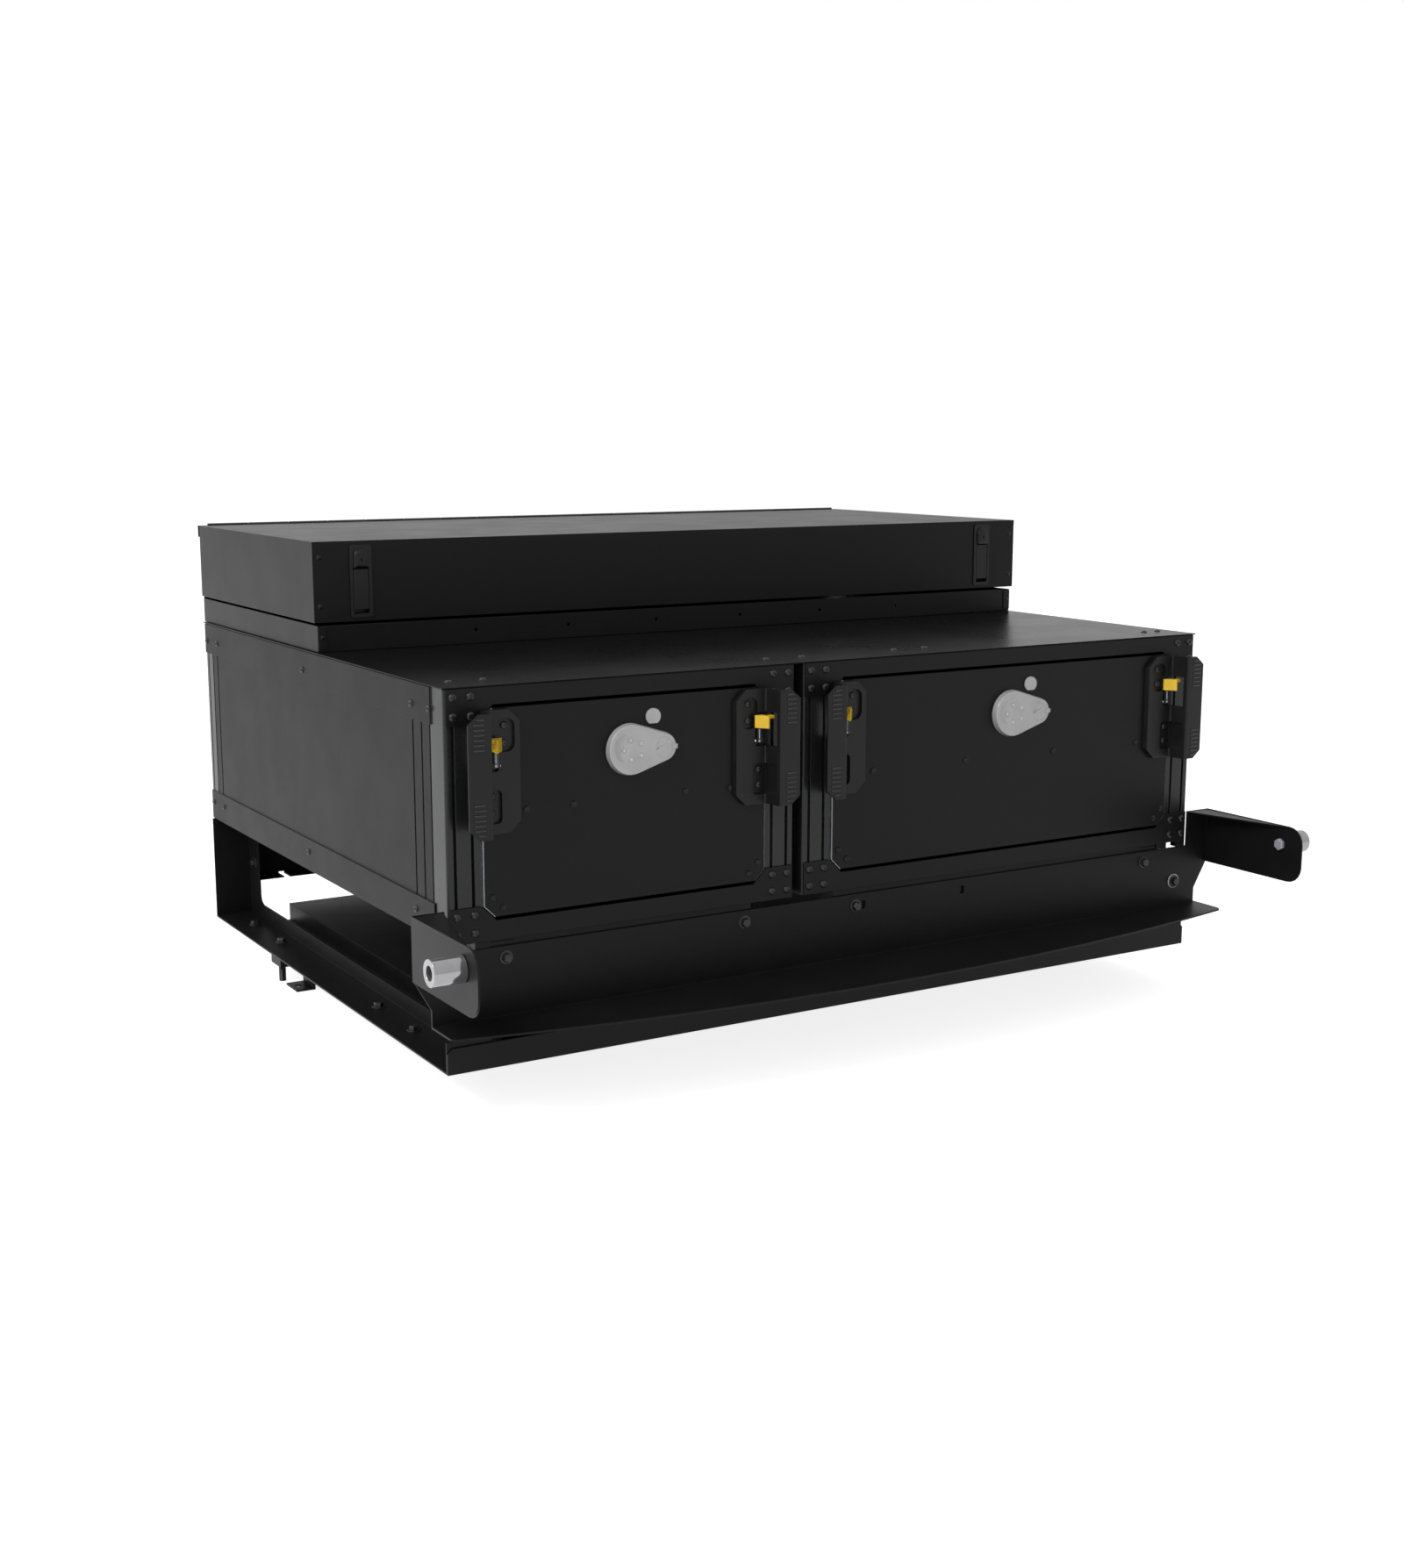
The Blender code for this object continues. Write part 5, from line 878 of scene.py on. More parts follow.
@dataclass
class CabinetFasteners:
    """The screws, rivets and bolts of the cabinet, its base and its box."""

    heads: Fasteners
    plate: float = -2.3
    gusset_insets: tuple[float, ...] = (10.8, 33.3)
    gusset_heights: tuple[float, ...] = (11.5, 33.5, 270.5, 293.2)
    side_reaches: tuple[float, ...] = (38.4, 90.5, 466.5, 841.5, 891.4)
    side_heights: tuple[float, ...] = (26.5, 277.0)
    top_line: float = 48.0
    top_places: tuple[float, ...] = (28.0, 72.0, 470.0, 525.0, 673.0, 724.0, 1124.0, 1150.0)
    strip_steel: float = 2.0
    back_steel: float = 2.3
    back_inset: float = 22.0
    back_heights: tuple[float, ...] = (22.0, 281.0)
    web_bolts: Pairs = ((74.0, -23.5), (409.6, -24.5), (583.0, -25.0), (1095.0, -24.6))
    rail_bolts: tuple[float, ...] = (182.0, 301.0, 686.0, 808.5)
    rail_line: Pair = (559.5, 59.5)
    beam_bolt: Point = (535.5, 509.0, 142.0)
    post_bolt: Point = (631.0, -508.0, 230.0)
    sill_end: Point = (1156.0, -0.1, -60.0)
    washer: Pairs = ((0.0, -1.5), (10.7, -1.5), (10.7, 0.2), (10.2, 0.5), (0.0, 0.5))
    bolt_stand: float = 0.4
    lid_rivet: Point = (581.0, 46.0, 215.0)
    lid_rivet_heights: tuple[float, ...] = (366.0, 430.0)
    tab_rivet: Point = (579.0, 46.4, 539.7)
    hinge_line: Point = (-560.0, 547.0, 657.5)
    hinge_pitch: float = 140.0
    hinge_rivets: int = 9

    def build(self) -> None:
        """Sets every head on the unit's fixed frame and lid."""
        self.front_and_sides()
        self.base()
        self.box()

    def front_and_sides(self) -> None:
        """Sets the button-head screws of the gussets, side strips, top sheet and back panels."""
        places: Places = []
        for left, right in MODULE_EDGES.values():
            for inset in self.gusset_insets:
                for x in (left + inset, right - inset):
                    places += [(from_corner(x, self.plate, z), FRONTWARD) for z in self.gusset_heights]
        self.heads.place("gusset_screws", GUSSET_SCREW, places, "frame")
        width, depth, height = CABINET_SIZE
        places = []
        for y in self.side_reaches:
            for z in self.side_heights:
                places.append((from_corner(-self.strip_steel, y, z), (-1, 0, 0)))
                places.append((from_corner(width + self.strip_steel, y, z), (1, 0, 0)))
        places += [(from_corner(x, self.top_line, height), UPWARD) for x in self.top_places]
        for left, right in MODULE_EDGES.values():
            for x in (left + self.back_inset, (left + right) / 2, right - self.back_inset):
                places += [(from_corner(x, depth + self.back_steel, z), REARWARD) for z in self.back_heights]
        self.heads.place("frame_screws", FRAME_SCREW, places, "frame")

    def base(self) -> None:
        """Sets the hex bolts of the sill plate, wings, posts and side rails."""
        places = [(from_corner(x, 0.0, z), FRONTWARD) for x, z in self.web_bolts]
        rail_x, rail_z = self.rail_line
        for side in SIDES:
            places += [(Vector((side * rail_x, CABINET_CORNER.y + y, rail_z)) * MM, UPWARD)
                       for y in self.rail_bolts]
            places.append((self.mirrored(self.beam_bolt, side), (side, 0, 0)))
        self.heads.place("base_bolts", BASE_BOLT, places, "frame")
        ends = [(self.mirrored(self.post_bolt, side), (-side, 0, 0)) for side in SIDES]
        self.heads.place("post_bolts", POST_BOLT, ends, "frame")
        hole = from_corner(*self.sill_end)
        washer = Mesher.turned(self.washer, 40, hole / MM, FRONTWARD)
        Mesher.smooth(washer)
        Mesher.placed("sill_end_washer", washer, "frame", PALE_ZINC)
        seat = hole + Vector((0, -self.bolt_stand * MM, 0))
        self.heads.place("sill_end_bolt", SILL_END_BOLT, [(seat, FRONTWARD)], "frame")

    def box(self) -> None:
        """Sets the rivets of the lid, the tray's tabs and the hinge."""
        x, y, foot = self.lid_rivet
        lid = [(self.mirrored((x, y, foot + z), side), FRONTWARD) for side in SIDES
               for z in self.lid_rivet_heights]
        self.heads.place("lid_rivets", LID_RIVET, lid, "lid")
        tabs = [(self.mirrored(self.tab_rivet, side), FRONTWARD) for side in SIDES]
        x, y, z = self.hinge_line
        tabs += [(Vector((x + self.hinge_pitch * k, y, z)) * MM, REARWARD) for k in range(self.hinge_rivets)]
        self.heads.place("tray_rivets", TRAY_RIVET, tabs, "frame")

    @staticmethod
    def mirrored(place: Point, side: int) -> Vector:
        """Gives a place in metres from millimetres, on the left for side -1 and on the right for 1."""
        x, y, z = place
        return Vector((side * x, y, z)) * MM


@dataclass
class DrawerFasteners:
    """The rivets of the drawer faces, the screws in the grips' pockets, and the slides' rivets and screws."""

    heads: Fasteners
    rivets: dict[str, Pairs] = field(default_factory=lambda: {
        "left": ((102.6, 153.7), (165.3, 153.7), (320.5, 154.6), (383.6, 153.0), (57.0, 52.2), (70.5, 39.1),
                 (427.5, 52.9), (413.7, 39.7)),
        "right": ((606.5, 154.5), (760.3, 154.9), (914.6, 154.7), (1067.4, 154.2), (552.1, 54.8),
                  (565.6, 41.6), (1121.0, 52.8), (1107.5, 39.8))})
    face: float = -2.3
    pocket_floor: float = -5.3
    grip_screws: Pairs = ((73.2, 257.5), (73.2, 236.5), (56.5, 174.0), (56.5, 154.0))
    bar_web: float = 10.7
    slide_rise: float = 335.0
    slide_shares: tuple[float, ...] = (0.04, 0.2, 0.36, 0.52, 0.68, 0.84)

    def build(self) -> None:
        """Sets the heads on both drawers."""
        for module, (left, right) in MODULE_EDGES.items():
            body = f"drawer_{module}"
            places = [(from_corner(x, self.face, z), FRONTWARD) for x, z in self.rivets[module]]
            self.heads.place(f"face_rivets_{body}", FACE_RIVET, places, body)
            screws = [(from_corner(x, self.pocket_floor, z), FRONTWARD) for offset, z in self.grip_screws
                      for x in (left + offset, right - offset)]
            self.heads.place(f"grip_screws_{body}", GRIP_SCREW, screws, body)
        for module in MODULE_EDGES:
            self.slides(module)

    def slides(self, module: str) -> None:
        """Sets the rivets on a drawer's middle slide bars and the screws in its inner ones.

        Args:
            module: The drawer's side.
        """
        low, high = corners(f"drawer_box_{module}")
        screws = self.row(low, high, low.x + self.bar_web, -1) + self.row(low, high, high.x - self.bar_web, 1)
        self.heads.place(f"slide_screws_{module}", SLIDE_SCREW, screws, f"drawer_{module}")
        for side, way in (("left", -1), ("right", 1)):
            node = f"slide_middle_{module}_{side}"
            low, high = corners(node)
            rivets = self.row(low, high, low.x if way < 0 else high.x, way)
            self.heads.place(f"slide_rivets_{module}_{side}", SLIDE_RIVET, rivets, carrier(node))

    def row(self, low: Vector, high: Vector, x: float, way: int) -> Places:
        """Lays out a row of heads between a piece's corners, at the face x and facing along X."""
        return [(Vector((x, low.y + share * (high.y - low.y), self.slide_rise)) * MM, (way, 0, 0))
                for share in self.slide_shares]


@dataclass
class PaintedEdgeHighlights:
    """Pale strips along both sides of each drawer face, a painted highlight on the sheet's cut edges."""

    proud: float = 0.05
    width: float = 0.75
    reach_back: float = 2.15
    sheet: float = 3.0
    shortest: float = 4.0
    steepest: float = 2.0

    def build(self) -> None:
        """Makes both drawers' painted edge highlights."""
        for module in MODULE_EDGES:
            node = f"drawer_face_{module}"
            low, high = corners(node)
            points = [Vector((v.co.x, v.co.z)) / MM for v in frame["nodes"][node].data.vertices]
            ring = [points[k] for k in geometry.convex_hull_2d(points)]
            front = high.y - self.sheet
            middle = (low.x + high.x) / 2
            strips = []
            for start, end in zip(ring, ring[1:] + ring[:1]):
                along = end - start
                if along.length < self.shortest or abs(along.x) > self.steepest * abs(along.y):
                    continue
                out = Vector((along.y, -along.x)).normalized()
                if out.dot(Vector(((start.x + end.x) / 2 - middle, 0))) < 0:
                    out = -out
                lip = self.width if out.x < 0 else self.proud * 2
                ends = []
                for spot in (start, end):
                    ends.append([Vector((spot.x + out.x * a, front + b, spot.y + out.y * a)) for a, b in (
                        (-lip, -self.proud), (-self.proud, -self.proud), (self.proud, self.proud),
                        (self.proud, self.reach_back), (-lip, self.reach_back))])
                strips.append(Mesher.loft(ends))
            # Pale zinc strips: a painted highlight along the face's edges.
            Mesher.placed(f"bare_edges_{module}", Mesher.joined(strips), carrier(node), PALE_ZINC)


@dataclass
class LatchKeys:
    """The domed key covers over the paddle latches."""

    latches: tuple[str, ...] = ("left", "right")
    half_width: float = 9.7
    height: float = 24.2
    base_gap: float = 1.2
    shoulders: Pairs = ((-0.3, 0.2), (1.7, 0.15), (2.6, -0.5), (3.4, -2.2), (3.8, -4.6))
    slot: Pair = (0.7, 2.3)
    slot_rise: float = 0.45
    slot_depths: Pair = (1.6, 6.0)
    softening: EdgeBreak = EdgeBreak(0.15)

    def build(self) -> None:
        """Makes both key covers."""
        for latch in self.latches:
            low, high = corners(f"latch_lever_{latch}")
            foot = Vector(((low.x + high.x) / 2, low.y, high.z + self.base_gap))
            solid = Mesher.loft([self.outline(foot, proud, offset) for proud, offset in self.shoulders])
            half, tall = self.slot
            key = foot + Vector((0, 0, self.height * self.slot_rise))
            tool = Mesher.hull([key + Vector((x * half, -y, z * tall)) for x in SIDES
                                for y in self.slot_depths for z in SIDES])
            Mesher.placed(f"latch_key_{latch}", self.softening.apply(Mesher.cut(solid, tool)),
                          carrier(f"latch_housing_{latch}"), SMOOTH_COAT)

    def outline(self, foot: Vector, proud: float, offset: float) -> list[Vector]:
        """Gives the cover's arched outline at a height above the plate.

        Args:
            foot: The middle of the outline's lower edge on the plate.
            proud: The height above the plate.
            offset: How far the outline stands outside the cover's foot.

        Returns:
            The outline's points in millimetres.
        """
        reach = self.half_width + offset
        spring = self.height - self.half_width
        points = [(-reach, -offset), (reach, -offset)]
        points += [(x, spring + z) for x, z in arc(reach, 0.0, math.pi, 24)]
        return [Vector((foot.x + x, foot.y - proud, foot.z + z)) for x, z in points]


@dataclass
class BaseHardware:
    """The threaded studs under the rails and the spacers in the gap over the sill plate."""

    stud_place: Pair = (559.5, 323.0)
    stud_heights: Pair = (0.6, 26.0)
    stud_radius: float = 5.3
    thread_pitch: float = 1.25
    spacers: Pairs = ((533.0, 553.0), (571.0, 589.0))
    spacer_heights: Pair = (206.2, 214.9)
    spacer_depths: Pair = (-362.5, -352.0)

    def build(self) -> None:
        """Makes the studs and the spacers."""
        low, high = self.stud_heights
        turns = int((high - low - 1.0) / self.thread_pitch)
        profile = [(0.0, 0.0), (self.stud_radius - 0.6, 0.0)]
        for k in range(turns):
            profile += [(self.stud_radius, 0.5 + k * self.thread_pitch),
                        (self.stud_radius - 0.45, 0.5 + (k + 0.5) * self.thread_pitch)]
        profile += [(self.stud_radius, high - low - 0.3), (0.0, high - low - 0.3)]
        studs = []
        for side in SIDES:
            seat = Vector((side * self.stud_place[0], self.stud_place[1], low))
            studs.append(Mesher.turned(profile, 24, seat, UPWARD))
        Mesher.placed("base_studs", Mesher.joined(studs), "frame", BLACK_OXIDE)
        blocks = []
        for side in SIDES:
            for span in self.spacers:
                blocks.append(Mesher.hull([Vector((side * x, y, z)) for x in span for y in self.spacer_depths
                                           for z in self.spacer_heights]))
        Mesher.placed("sill_spacers", EdgeBreak(0.4).apply(Mesher.joined(blocks)), "frame", POWDER_COAT)


@dataclass
class Locks:
    """The push-button locks: drafted housing with its scoop, dished buttons, turn lever and silver cap."""

    rim: float = 1.5
    big_radius: float = 30.5
    small_radius: float = 17.0
    span: float = 44.2
    scoop_radius: float = 17.6
    scoop_slope: float = 0.238
    scoop_way: Pair = (-0.953, 0.303)
    scoop_centre: Pair = (3.0, -0.7)
    scoop_beyond: float = 5.2
    scoop_wall: Pairs = ((20.0, 0.75), (22.6, 1.9), (25.2, 3.4), (27.8, 5.2), (30.4, 7.4), (33.0, 10.0))
    walls: Pairs = ((1.0, 0.35), (0.45, 0.12), (0.12, -0.25), (0.0, -0.75))
    back_step: float = 1.2
    well_radius: float = 3.25
    well_depth: float = 5.6
    button_radius: float = 3.05
    button_height: float = 3.6
    disc_radius: float = 12.7
    disc_depth: float = 2.4
    disc_gap: float = 0.1
    tab_reach: float = 19.0
    tab_half: float = 3.0
    recess: tuple[Point, ...] = (
        (-11.2, 1.0, -2.6), (-10.4, 1.0, 6.0), (-5.2, 1.0, 10.2), (2.0, 1.0, 10.2), (10.2, 1.0, 7.9),
        (-8.2, 1.0, -2.4), (-10.2, -1.9, -1.6), (-9.6, -2.0, 3.4), (-8.6, -2.0, -1.4),
        (-4.4, -1.5, 5.4), (9.0, -0.05, 7.5))
    cap_radius: float = 9.8
    cap_flat: float = 0.84
    cap_place: Pair = (33.2, 252.3)
    cap_rings: Pairs = ((2.2, 0.35), (0.1, 0.35), (-0.2, 0.22), (-0.35, -0.1))
    button_dish: Pairs = ((0.68, -0.42), (0.5, -0.78), (0.28, -1.05), (0.0, -1.15))
    button_sink: float = 0.12
    tab_rings: Pairs = ((-0.12, 0.0), (-0.62, 0.2))

    def build(self) -> None:
        """Makes both locks."""
        for module in MODULE_EDGES:
            low, high = corners(f"lock_{module}")
            centre = Vector((low.x + self.rim + self.big_radius, low.y, (low.z + high.z) / 2))
            self.housing(module, centre, high.y)
            self.buttons(module, centre)
            self.lever(module, centre)
            self.cap(module, centre.x)

    def outline(self, centre: Vector, depth: float, offset: float) -> list[Vector]:
        """Gives the housing's drop-shaped outline.

        Args:
            centre: The middle of the round end.
            depth: The outline's y.
            offset: How far it stands outside the face's outline.

        Returns:
            The outline's points in millimetres.
        """
        lean = math.acos((self.big_radius - self.small_radius) / self.span)
        points = []
        for start, end, steps, radius, x in (
                (lean, 2 * math.pi - lean, 56, self.big_radius, 0.0),
                (-lean, lean, 28, self.small_radius, self.span)):
            points += [Vector((centre.x + x + across, depth, centre.z + rise))
                       for across, rise in arc(radius + offset, start, end, steps)]
        return points

    def scoop_depth(self, x: float, z: float) -> float:
        """Gives the scooped field's depth below the face at a place off the lock's centre.

        Args:
            x: The place across in millimetres.
            z: The place up.

        Returns:
            The depth, which is 0 outside the field.
        """
        across, rise = self.scoop_way
        off = (x - self.scoop_centre[0]) * across + (z - self.scoop_centre[1]) * rise
        return max(0.0, (off - self.scoop_beyond) * self.scoop_slope)

    def button_places(self, module: str, centre: Vector) -> list[tuple[str, float, float]]:
        """Lists a lock's buttons.

        Args:
            module: The drawer's side.
            centre: The middle of the lock's round end, in millimetres.

        Returns:
            Each button's node, and its place across and up from the centre.
        """
        found = []
        for name in sorted(frame["nodes"]):
            if name.startswith(f"button_{module}_"):
                low, high = corners(name)
                found.append((name, (low.x + high.x) / 2 - centre.x, (low.z + high.z) / 2 - centre.z))
        return found

    def housing(self, module: str, centre: Vector, seat: float) -> None:
        """Makes the housing with its scooped button field, wells and the lever's pocket.

        Args:
            module: The drawer's side.
            centre: The middle of the round end on the outer face, in millimetres.
            seat: The y of the housing's back.
        """
        outer = centre.y
        solid = Mesher.loft([self.outline(centre, y, offset) for y, offset in (
            (seat, self.rim), (seat - self.back_step, self.rim),
            *((outer + depth, offset) for depth, offset in self.walls))])
        across, rise = self.scoop_way
        way = Vector((across * self.scoop_slope, -1.0, rise * self.scoop_slope))
        seat_of_scoop = Vector((centre.x + self.scoop_centre[0], outer - self.scoop_beyond * self.scoop_slope,
                                centre.z + self.scoop_centre[1]))
        profile = [(0.0, 0.0), (self.scoop_radius, 0.0), *self.scoop_wall, (0.0, self.scoop_wall[-1][1])]
        solid = Mesher.cut(solid, Mesher.turned(profile, 96, seat_of_scoop, way))
        tools = []
        for _, x, z in self.button_places(module, centre):
            floor = outer + self.scoop_depth(x, z)
            tools.append(Mesher.turned([(0.0, -self.well_depth), (self.well_radius, -self.well_depth),
                                        (self.well_radius, 4.0), (0.0, 4.0)], 24,
                                       Vector((centre.x + x, floor, centre.z + z)), FRONTWARD))
        reach, bottom = self.disc_radius + self.disc_gap, -self.disc_depth - 0.3
        tools.append(Mesher.turned([(0.0, bottom), (reach, bottom), (reach, 2.0), (0.0, 2.0)], 64,
                                   Vector((centre.x + self.span, outer, centre.z)), FRONTWARD))
        solid = Mesher.cut(solid, Mesher.joined(tools))
        Mesher.placed(f"finished_lock_{module}", EdgeBreak(0.12).apply(solid), carrier(f"lock_{module}"),
                      SATIN_SILVER, (f"lock_{module}",))

    def buttons(self, module: str, centre: Vector) -> None:
        """Makes the dished push buttons.

        Args:
            module: The drawer's side.
            centre: The middle of the lock's round end on its outer face.
        """
        radius = self.button_radius
        profile = [(0.0, -self.button_height), (radius, -self.button_height), (radius, -0.3),
                   (radius - 0.1, -0.08), (radius - 0.35, 0.0), (radius - 0.55, -0.06),
                   *((radius * share, depth) for share, depth in self.button_dish)]
        for name, x, z in self.button_places(module, centre):
            seat = Vector((centre.x + x, centre.y + self.scoop_depth(x, z) - self.button_sink, centre.z + z))
            mesh = Mesher.turned(profile, 28, seat, FRONTWARD)
            Mesher.smooth(mesh, BUTTON_SHARP_ANGLE)
            Mesher.placed(f"finished_{name}", mesh, carrier(name), BRIGHT_SILVER, (name,))

    def lever(self, module: str, centre: Vector) -> None:
        """Makes the flush turn lever with its thumb recess and its end tab.

        Args:
            module: The drawer's side.
            centre: The middle of the lock's round end on its outer face.
        """
        pivot = Vector((centre.x + self.span, centre.y, centre.z))
        radius = self.disc_radius
        disc = Mesher.turned([(0.0, -self.disc_depth), (radius, -self.disc_depth), (radius, -0.12),
                              (radius - 0.12, 0.02), (0.0, 0.02)], 64, pivot, FRONTWARD)
        tool = Mesher.hull([pivot + Vector((x, -out, z)) for x, out, z in self.recess])
        disc = Mesher.cut(disc, tool)
        half = self.tab_half
        tab = Mesher.loft([[pivot + Vector((x, y, z)) for x, z in (
            (radius - 1.6, -half), (self.tab_reach - spare, -half + spare),
            (self.tab_reach - spare, half - spare), (radius - 1.6, half))]
            for y, spare in self.tab_rings])
        name = f"lock_lever_{module}"
        solid = Mesher.joined([EdgeBreak(0.2).apply(disc), EdgeBreak(0.1).apply(tab)])
        Mesher.placed(f"finished_{name}", solid, carrier(name), SATIN_SILVER, (name,))

    def cap(self, module: str, middle: float) -> None:
        """Makes the silver face of the D-shaped cap above the lock.

        Args:
            module: The drawer's side.
            middle: The lock's centre x in millimetres.
        """
        x, z = middle + self.cap_place[0], CABINET_CORNER.z + self.cap_place[1]
        face = corners(f"drawer_face_{module}")[0].y
        start = -math.asin(self.cap_flat)
        rings = []
        for depth, offset in self.cap_rings:
            rings.append([Vector((x + across, face + depth, z + rise))
                          for across, rise in arc(self.cap_radius + offset, start, math.pi - start, 40)])
        Mesher.placed(f"lock_cap_{module}", EdgeBreak(0.1).apply(Mesher.loft(rings)),
                      carrier(f"drawer_face_{module}"), SATIN_SILVER)


@dataclass
class TriggerLinks:
    """The bright link round each trigger's arm and the ends of the pin that it turns on."""

    pins: dict[str, float] = field(default_factory=lambda: {
        "left_left": -527.6, "left_right": -164.8, "right_left": -31.4, "right_right": 527.6})
    depth: float = -374.3
    rise: float = 426.0
    half_width: float = 2.85
    half_depth: float = 2.9
    eye_radius: float = 3.6
    reach: float = 16.6
    ear_face: float = 4.8
    pin_radius: float = 1.9
    pin_proud: float = 1.3
    rod_radius: float = 0.8
    rod_span: Pair = (3.4, 15.4)
    glint_radius: float = 1.7

    def build(self) -> None:
        """Makes the links, the pale rods and dots that paint their highlight and glint, and the pin ends."""
        for place, x in self.pins.items():
            pin = Vector((x, self.depth, self.rise))
            Mesher.placed(f"trigger_link_{place}", self.link(pin), carrier(f"trigger_{place}"), DULL_ZINC)
            # Pale zinc rod and dot: a painted highlight and glint on the dark link.
            Mesher.placed(f"trigger_wire_{place}", self.highlight_rod(pin), carrier(f"trigger_{place}"), PALE_ZINC)
            Mesher.placed(f"trigger_pin_{place}", self.pin_ends(pin), carrier(f"grip_{place}"), BRIGHT_ZINC)

    def link(self, pin: Vector) -> bpy.types.Mesh:
        """Makes the round-ended link that hangs on a pin.

        Args:
            pin: The pin's middle in millimetres.

        Returns:
            The link.
        """
        outline = [(-self.half_depth, self.reach), *arc(self.eye_radius, math.pi, 2 * math.pi, 16),
                   (self.half_depth, self.reach)]
        return EdgeBreak(0.3).apply(Mesher.loft([
            [pin + Vector((side * self.half_width, y, z)) for y, z in outline] for side in SIDES]))

    def highlight_rod(self, pin: Vector) -> bpy.types.Mesh:
        """Makes the pale rod along a link's front and the pale dot below it: a painted highlight line and
        glint.

        Args:
            pin: The middle of the link's pin in millimetres.

        Returns:
            Both as one mesh.
        """
        low, high = self.rod_span
        highlight_rod = Mesher.turned([(0.0, 0.0), (self.rod_radius, 0.0), (self.rod_radius, high - low),
                              (0.0, high - low)], 16, pin + Vector((-0.7, -self.half_depth - 0.2, low)),
                             UPWARD)
        glint_dot = Mesher.turned([(0.0, -0.8), (self.glint_radius, -0.8), (self.glint_radius, 0.5),
                              (self.glint_radius * 0.7, 0.9), (0.0, 1.1)], 20,
                             pin + Vector((-0.9, -self.eye_radius, 0.2)), FRONTWARD)
        bright = Mesher.joined([highlight_rod, glint_dot])
        Mesher.smooth(bright)
        return bright

    def pin_ends(self, pin: Vector) -> bpy.types.Mesh:
        """Makes both ends of a pin, proud of the grip's ears.

        Args:
            pin: The pin's middle in millimetres.

        Returns:
            Both as one mesh.
        """
        profile = [(0.0, -0.4), (self.pin_radius, -0.4), (self.pin_radius, self.pin_proud - 0.4),
                   (self.pin_radius - 0.4, self.pin_proud), (0.0, self.pin_proud)]
        ends = Mesher.joined([Mesher.turned(profile, 24, pin + Vector((side * self.ear_face, 0, 0)),
                                            (side, 0, 0)) for side in SIDES])
        Mesher.smooth(ends)
        return ends


@dataclass
class GripRibs:
    """The rounded ribs across both ends of each grip's wing, in a lighter plastic whose colour is a painted
    sheen.
    """

    count: int = 7
    pitch: float = 5.9
    end_inset: float = 6.0
    span: Pair = (6.5, 20.5)
    corner_cut: Pair = (14.0, 12.0)
    corner_gap: float = 2.5
    half_width: float = 1.2
    cad_rise: float = 0.7
    taper: float = 0.7
    end_scale: float = 0.55
    section: Pairs = (
        (1.2, 0.2), (1.2, -0.4), (0.95, -0.85), (0.5, -1.1), (0.0, -1.2), (-0.5, -1.1), (-0.95, -0.85),
        (-1.2, -0.4), (-1.2, 0.2))

    def build(self) -> None:
        """Makes the ribs of all four grips."""
        for node in sorted(frame["nodes"]):
            if not node.startswith("grip"):
                continue
            low, high = corners(node)
            inward = 1 if node.endswith("left") else -1
            edge = Vector((low.x if inward > 0 else high.x, low.y + self.cad_rise, low.z))
            ribs = []
            for index in range(self.count):
                rise = self.end_inset + index * self.pitch
                ribs += [self.rib(edge, inward, rise, spot) for spot in (rise, high.z - low.z - rise)]
            mesh = Mesher.joined(ribs)
            Mesher.smooth(mesh)
            # The lighter rib plastic paints the sheen on the ribs.
            Mesher.placed(f"ribs_{node}", mesh, carrier(node), RIB_SHEEN_PLASTIC)

    def rib(self, edge: Vector, inward: int, rise: float, height: float) -> bpy.types.Mesh:
        """Makes one rib.

        Args:
            edge: The lower end of the wing's free edge, on its outer face.
            inward: The way along X from the edge onto the wing.
            rise: The rib's distance from the wing's nearer end.
            height: The rib's height above the wing's lower end.

        Returns:
            The rib, clear of the wing's corner cuts.
        """
        run, drop = self.corner_cut
        shortfall = max(0.0, drop - rise + self.half_width)
        start, end = max(self.span[0], run * shortfall / drop + self.corner_gap), self.span[1]
        rings = []
        for x, scale in ((start, self.end_scale), (start + self.taper, 1.0), (end - self.taper, 1.0),
                         (end, self.end_scale)):
            rings.append([edge + Vector((inward * x, max(depth, depth * scale), height + across * scale))
                          for across, depth in self.section])
        return Mesher.loft(rings)


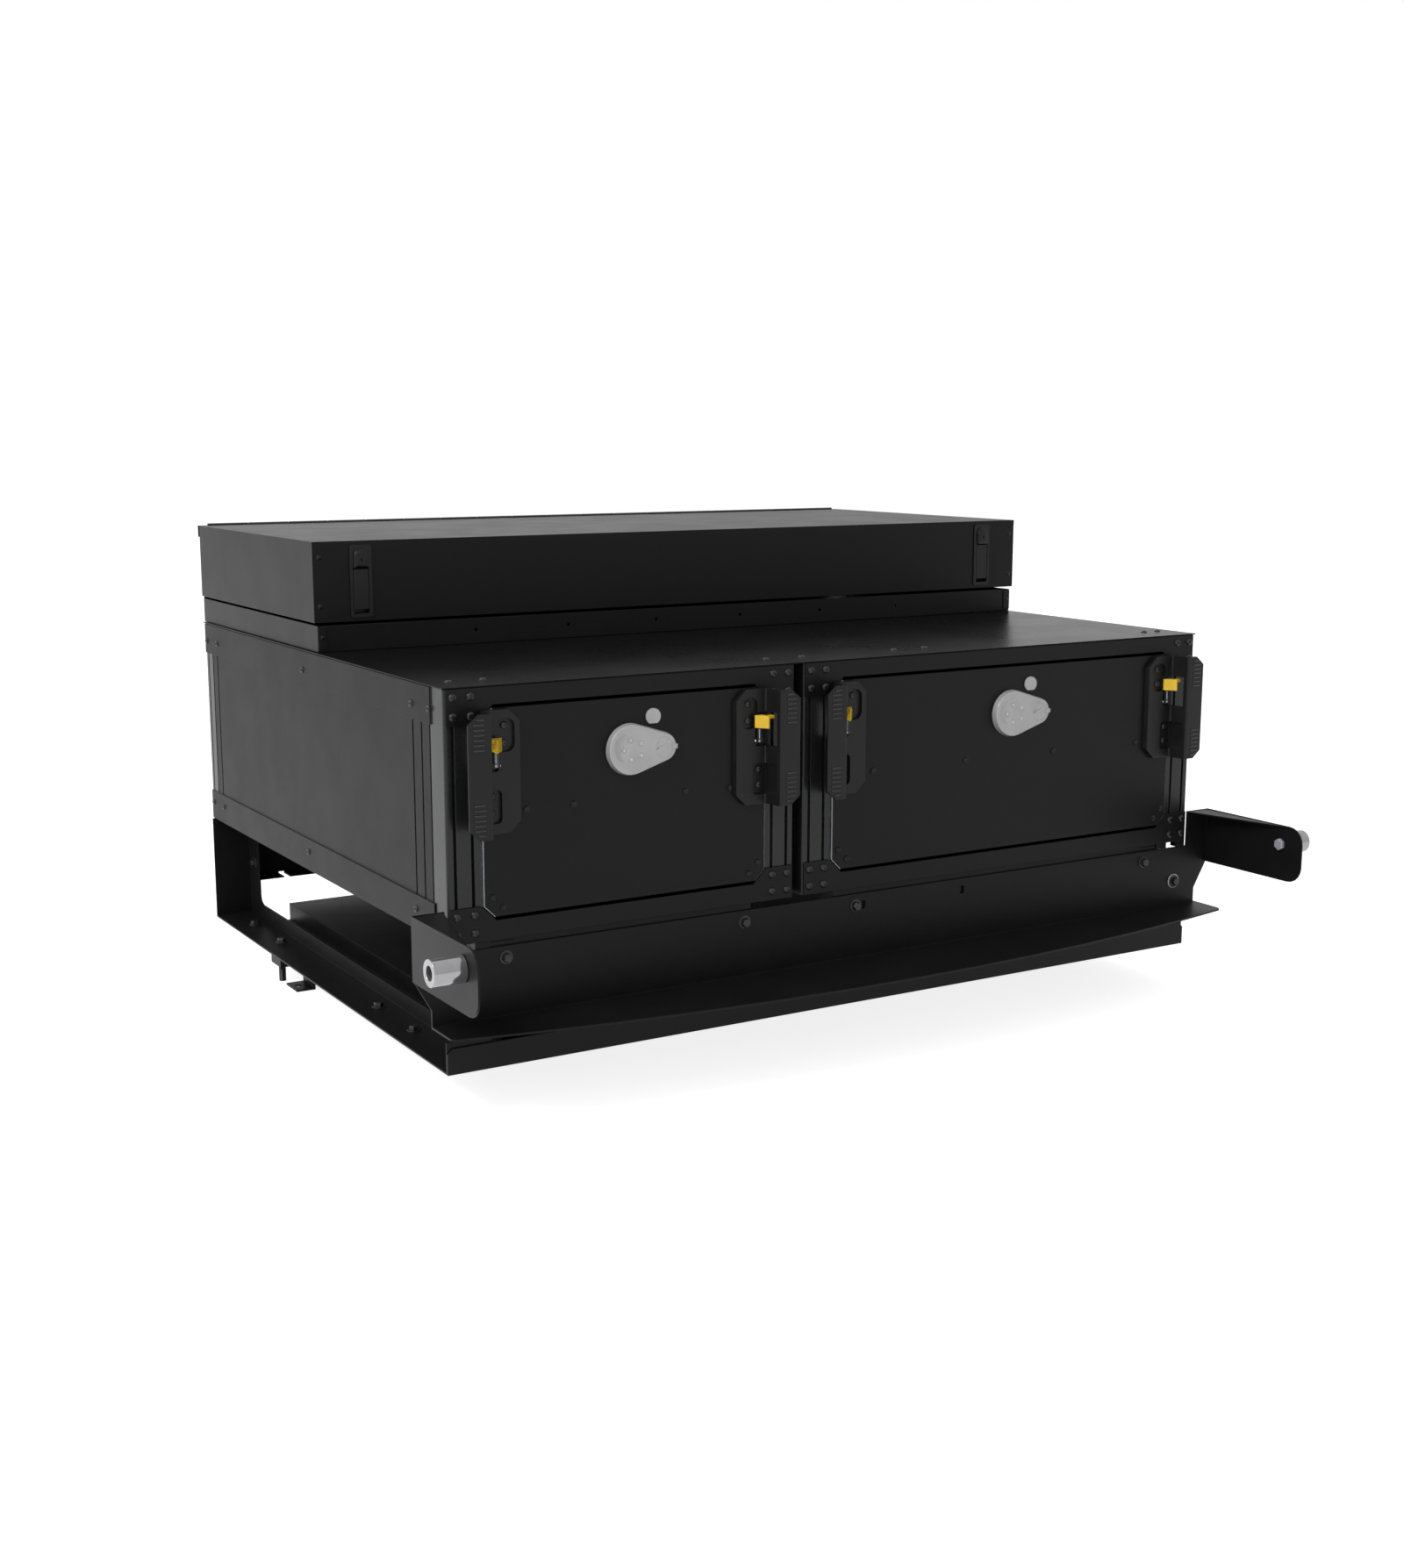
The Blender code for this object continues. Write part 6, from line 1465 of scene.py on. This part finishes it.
@dataclass
class Studio:
    """The pale floor, the soft light and the photograph's camera."""

    camera_place: Point = (-1.4778, -2.4259, 0.8150)
    yaw: float = 30.946
    pitch: float = 10.343
    lens: float = 45.04
    sensor: float = 36.0
    brightest_way: Point = (-0.62, 0.62, 0.42)
    lean_range: Pair = (-0.62, 0.55)
    strengths: Pair = (0.06, 1.15)
    floor_radius: float = 14.0
    floor_drop: float = 0.5
    floor_grey: float = 0.6
    floor_glow: float = 0.84

    def build(self) -> None:
        """Makes the camera, the world, the lamps and the floor."""
        self.camera()
        self.world()
        self.lamps()
        self.floor()

    def camera(self) -> None:
        """Makes the camera at the photograph's viewpoint."""
        camera = bpy.data.cameras.new("view")
        camera.lens = self.lens
        camera.sensor_fit = "VERTICAL"
        camera.sensor_height = self.sensor
        camera.clip_end = 50
        thing = linked("view", camera)
        thing.location = self.camera_place
        thing.rotation_euler = (math.radians(90 - self.pitch), 0, -math.radians(self.yaw))
        bpy.context.scene.camera = thing

    def world(self) -> None:
        """Makes a world that is white to the camera and a soft gradient to the object."""
        world = bpy.data.worlds.new("studio")
        world.use_nodes = True
        bpy.context.scene.world = world
        tree = world.node_tree
        places = add_node(tree, "ShaderNodeTexCoord").outputs["Generated"]
        lean = add_node(tree, "ShaderNodeVectorMath", {0: places, 1: self.brightest_way},
                        operation="DOT_PRODUCT")
        start, end = self.lean_range
        weak, strong = self.strengths
        ramp = add_node(tree, "ShaderNodeMapRange", {
            "Value": lean.outputs["Value"], "From Min": start, "From Max": end, "To Min": weak,
            "To Max": strong}, interpolation_type="SMOOTHSTEP")
        fill(tree.nodes["Background"], {
            "Color": (1, 1, 1, 1), "Strength": self.seen(tree, ramp.outputs["Result"])})

    @staticmethod
    def seen(tree: bpy.types.NodeTree, otherwise: bpy.types.NodeSocket | float) -> bpy.types.NodeSocket:
        """Gives 1 where the camera, a mirror or glass looks, and another strength elsewhere.

        Args:
            tree: The nodes to add to.
            otherwise: The strength for all other rays.

        Returns:
            The strength's socket.
        """
        path = add_node(tree, "ShaderNodeLightPath").outputs
        for ray in ("Is Camera Ray", "Is Glossy Ray", "Is Transmission Ray"):
            otherwise = add_node(tree, "ShaderNodeMath", {0: otherwise, 1: path[ray]},
                                 operation="MAXIMUM").outputs[0]
        return otherwise

    def lamps(self) -> None:
        """Makes two soft lamps: a key at the left and a weak fill over the front."""
        for name, place, target, size, power in (
                ("key", (-3.0, -0.6, 2.9), (0, 0, 0.35), 1.6, 90.0),
                ("fill", (-1.0, -3.4, 2.6), (0, 0, 0.3), 2.0, 12.0)):
            light = bpy.data.lights.new(name, "AREA")
            light.shape = "SQUARE"
            light.size = size
            light.energy = power
            thing = linked(name, light)
            thing.location = place
            thing.rotation_euler = (Vector(target) - Vector(place)).to_track_quat("-Z", "Y").to_euler()

    def floor(self) -> None:
        """Makes the pale floor, which stays white to the camera apart from the soft shadow."""
        builder = bmesh.new()
        bmesh.ops.create_circle(builder, cap_ends=True, segments=64, radius=self.floor_radius)
        bmesh.ops.translate(builder, vec=(0, 0, -self.floor_drop * MM), verts=builder.verts)
        mesh = Mesher.written(builder, "floor")
        material = bpy.data.materials.new("pale floor")
        material.use_nodes = True
        tree = material.node_tree
        fill(tree.nodes["Principled BSDF"], {
            "Base Color": (*[self.floor_grey] * 3, 1), "Roughness": 1.0, "Specular IOR Level": 0.0,
            "Emission Color": (*[self.floor_glow] * 3, 1), "Emission Strength": self.seen(tree, 0.0)})
        mesh.materials.append(material)
        thing = linked("floor", mesh)


def main() -> None:
    """Builds the visual model."""
    logging.basicConfig(level=logging.INFO, format="%(message)s")
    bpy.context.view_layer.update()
    heads = Fasteners()
    Sheetwork().build()
    CabinetFasteners(heads).build()
    DrawerFasteners(heads).build()
    PaintedEdgeHighlights().build()
    Locks().build()
    LatchKeys().build()
    BaseHardware().build()
    TriggerLinks().build()
    GripRibs().build()
    Studio().build()
    bpy.context.scene.view_settings.view_transform = "Standard"


if __name__ == "__main__":
    main()
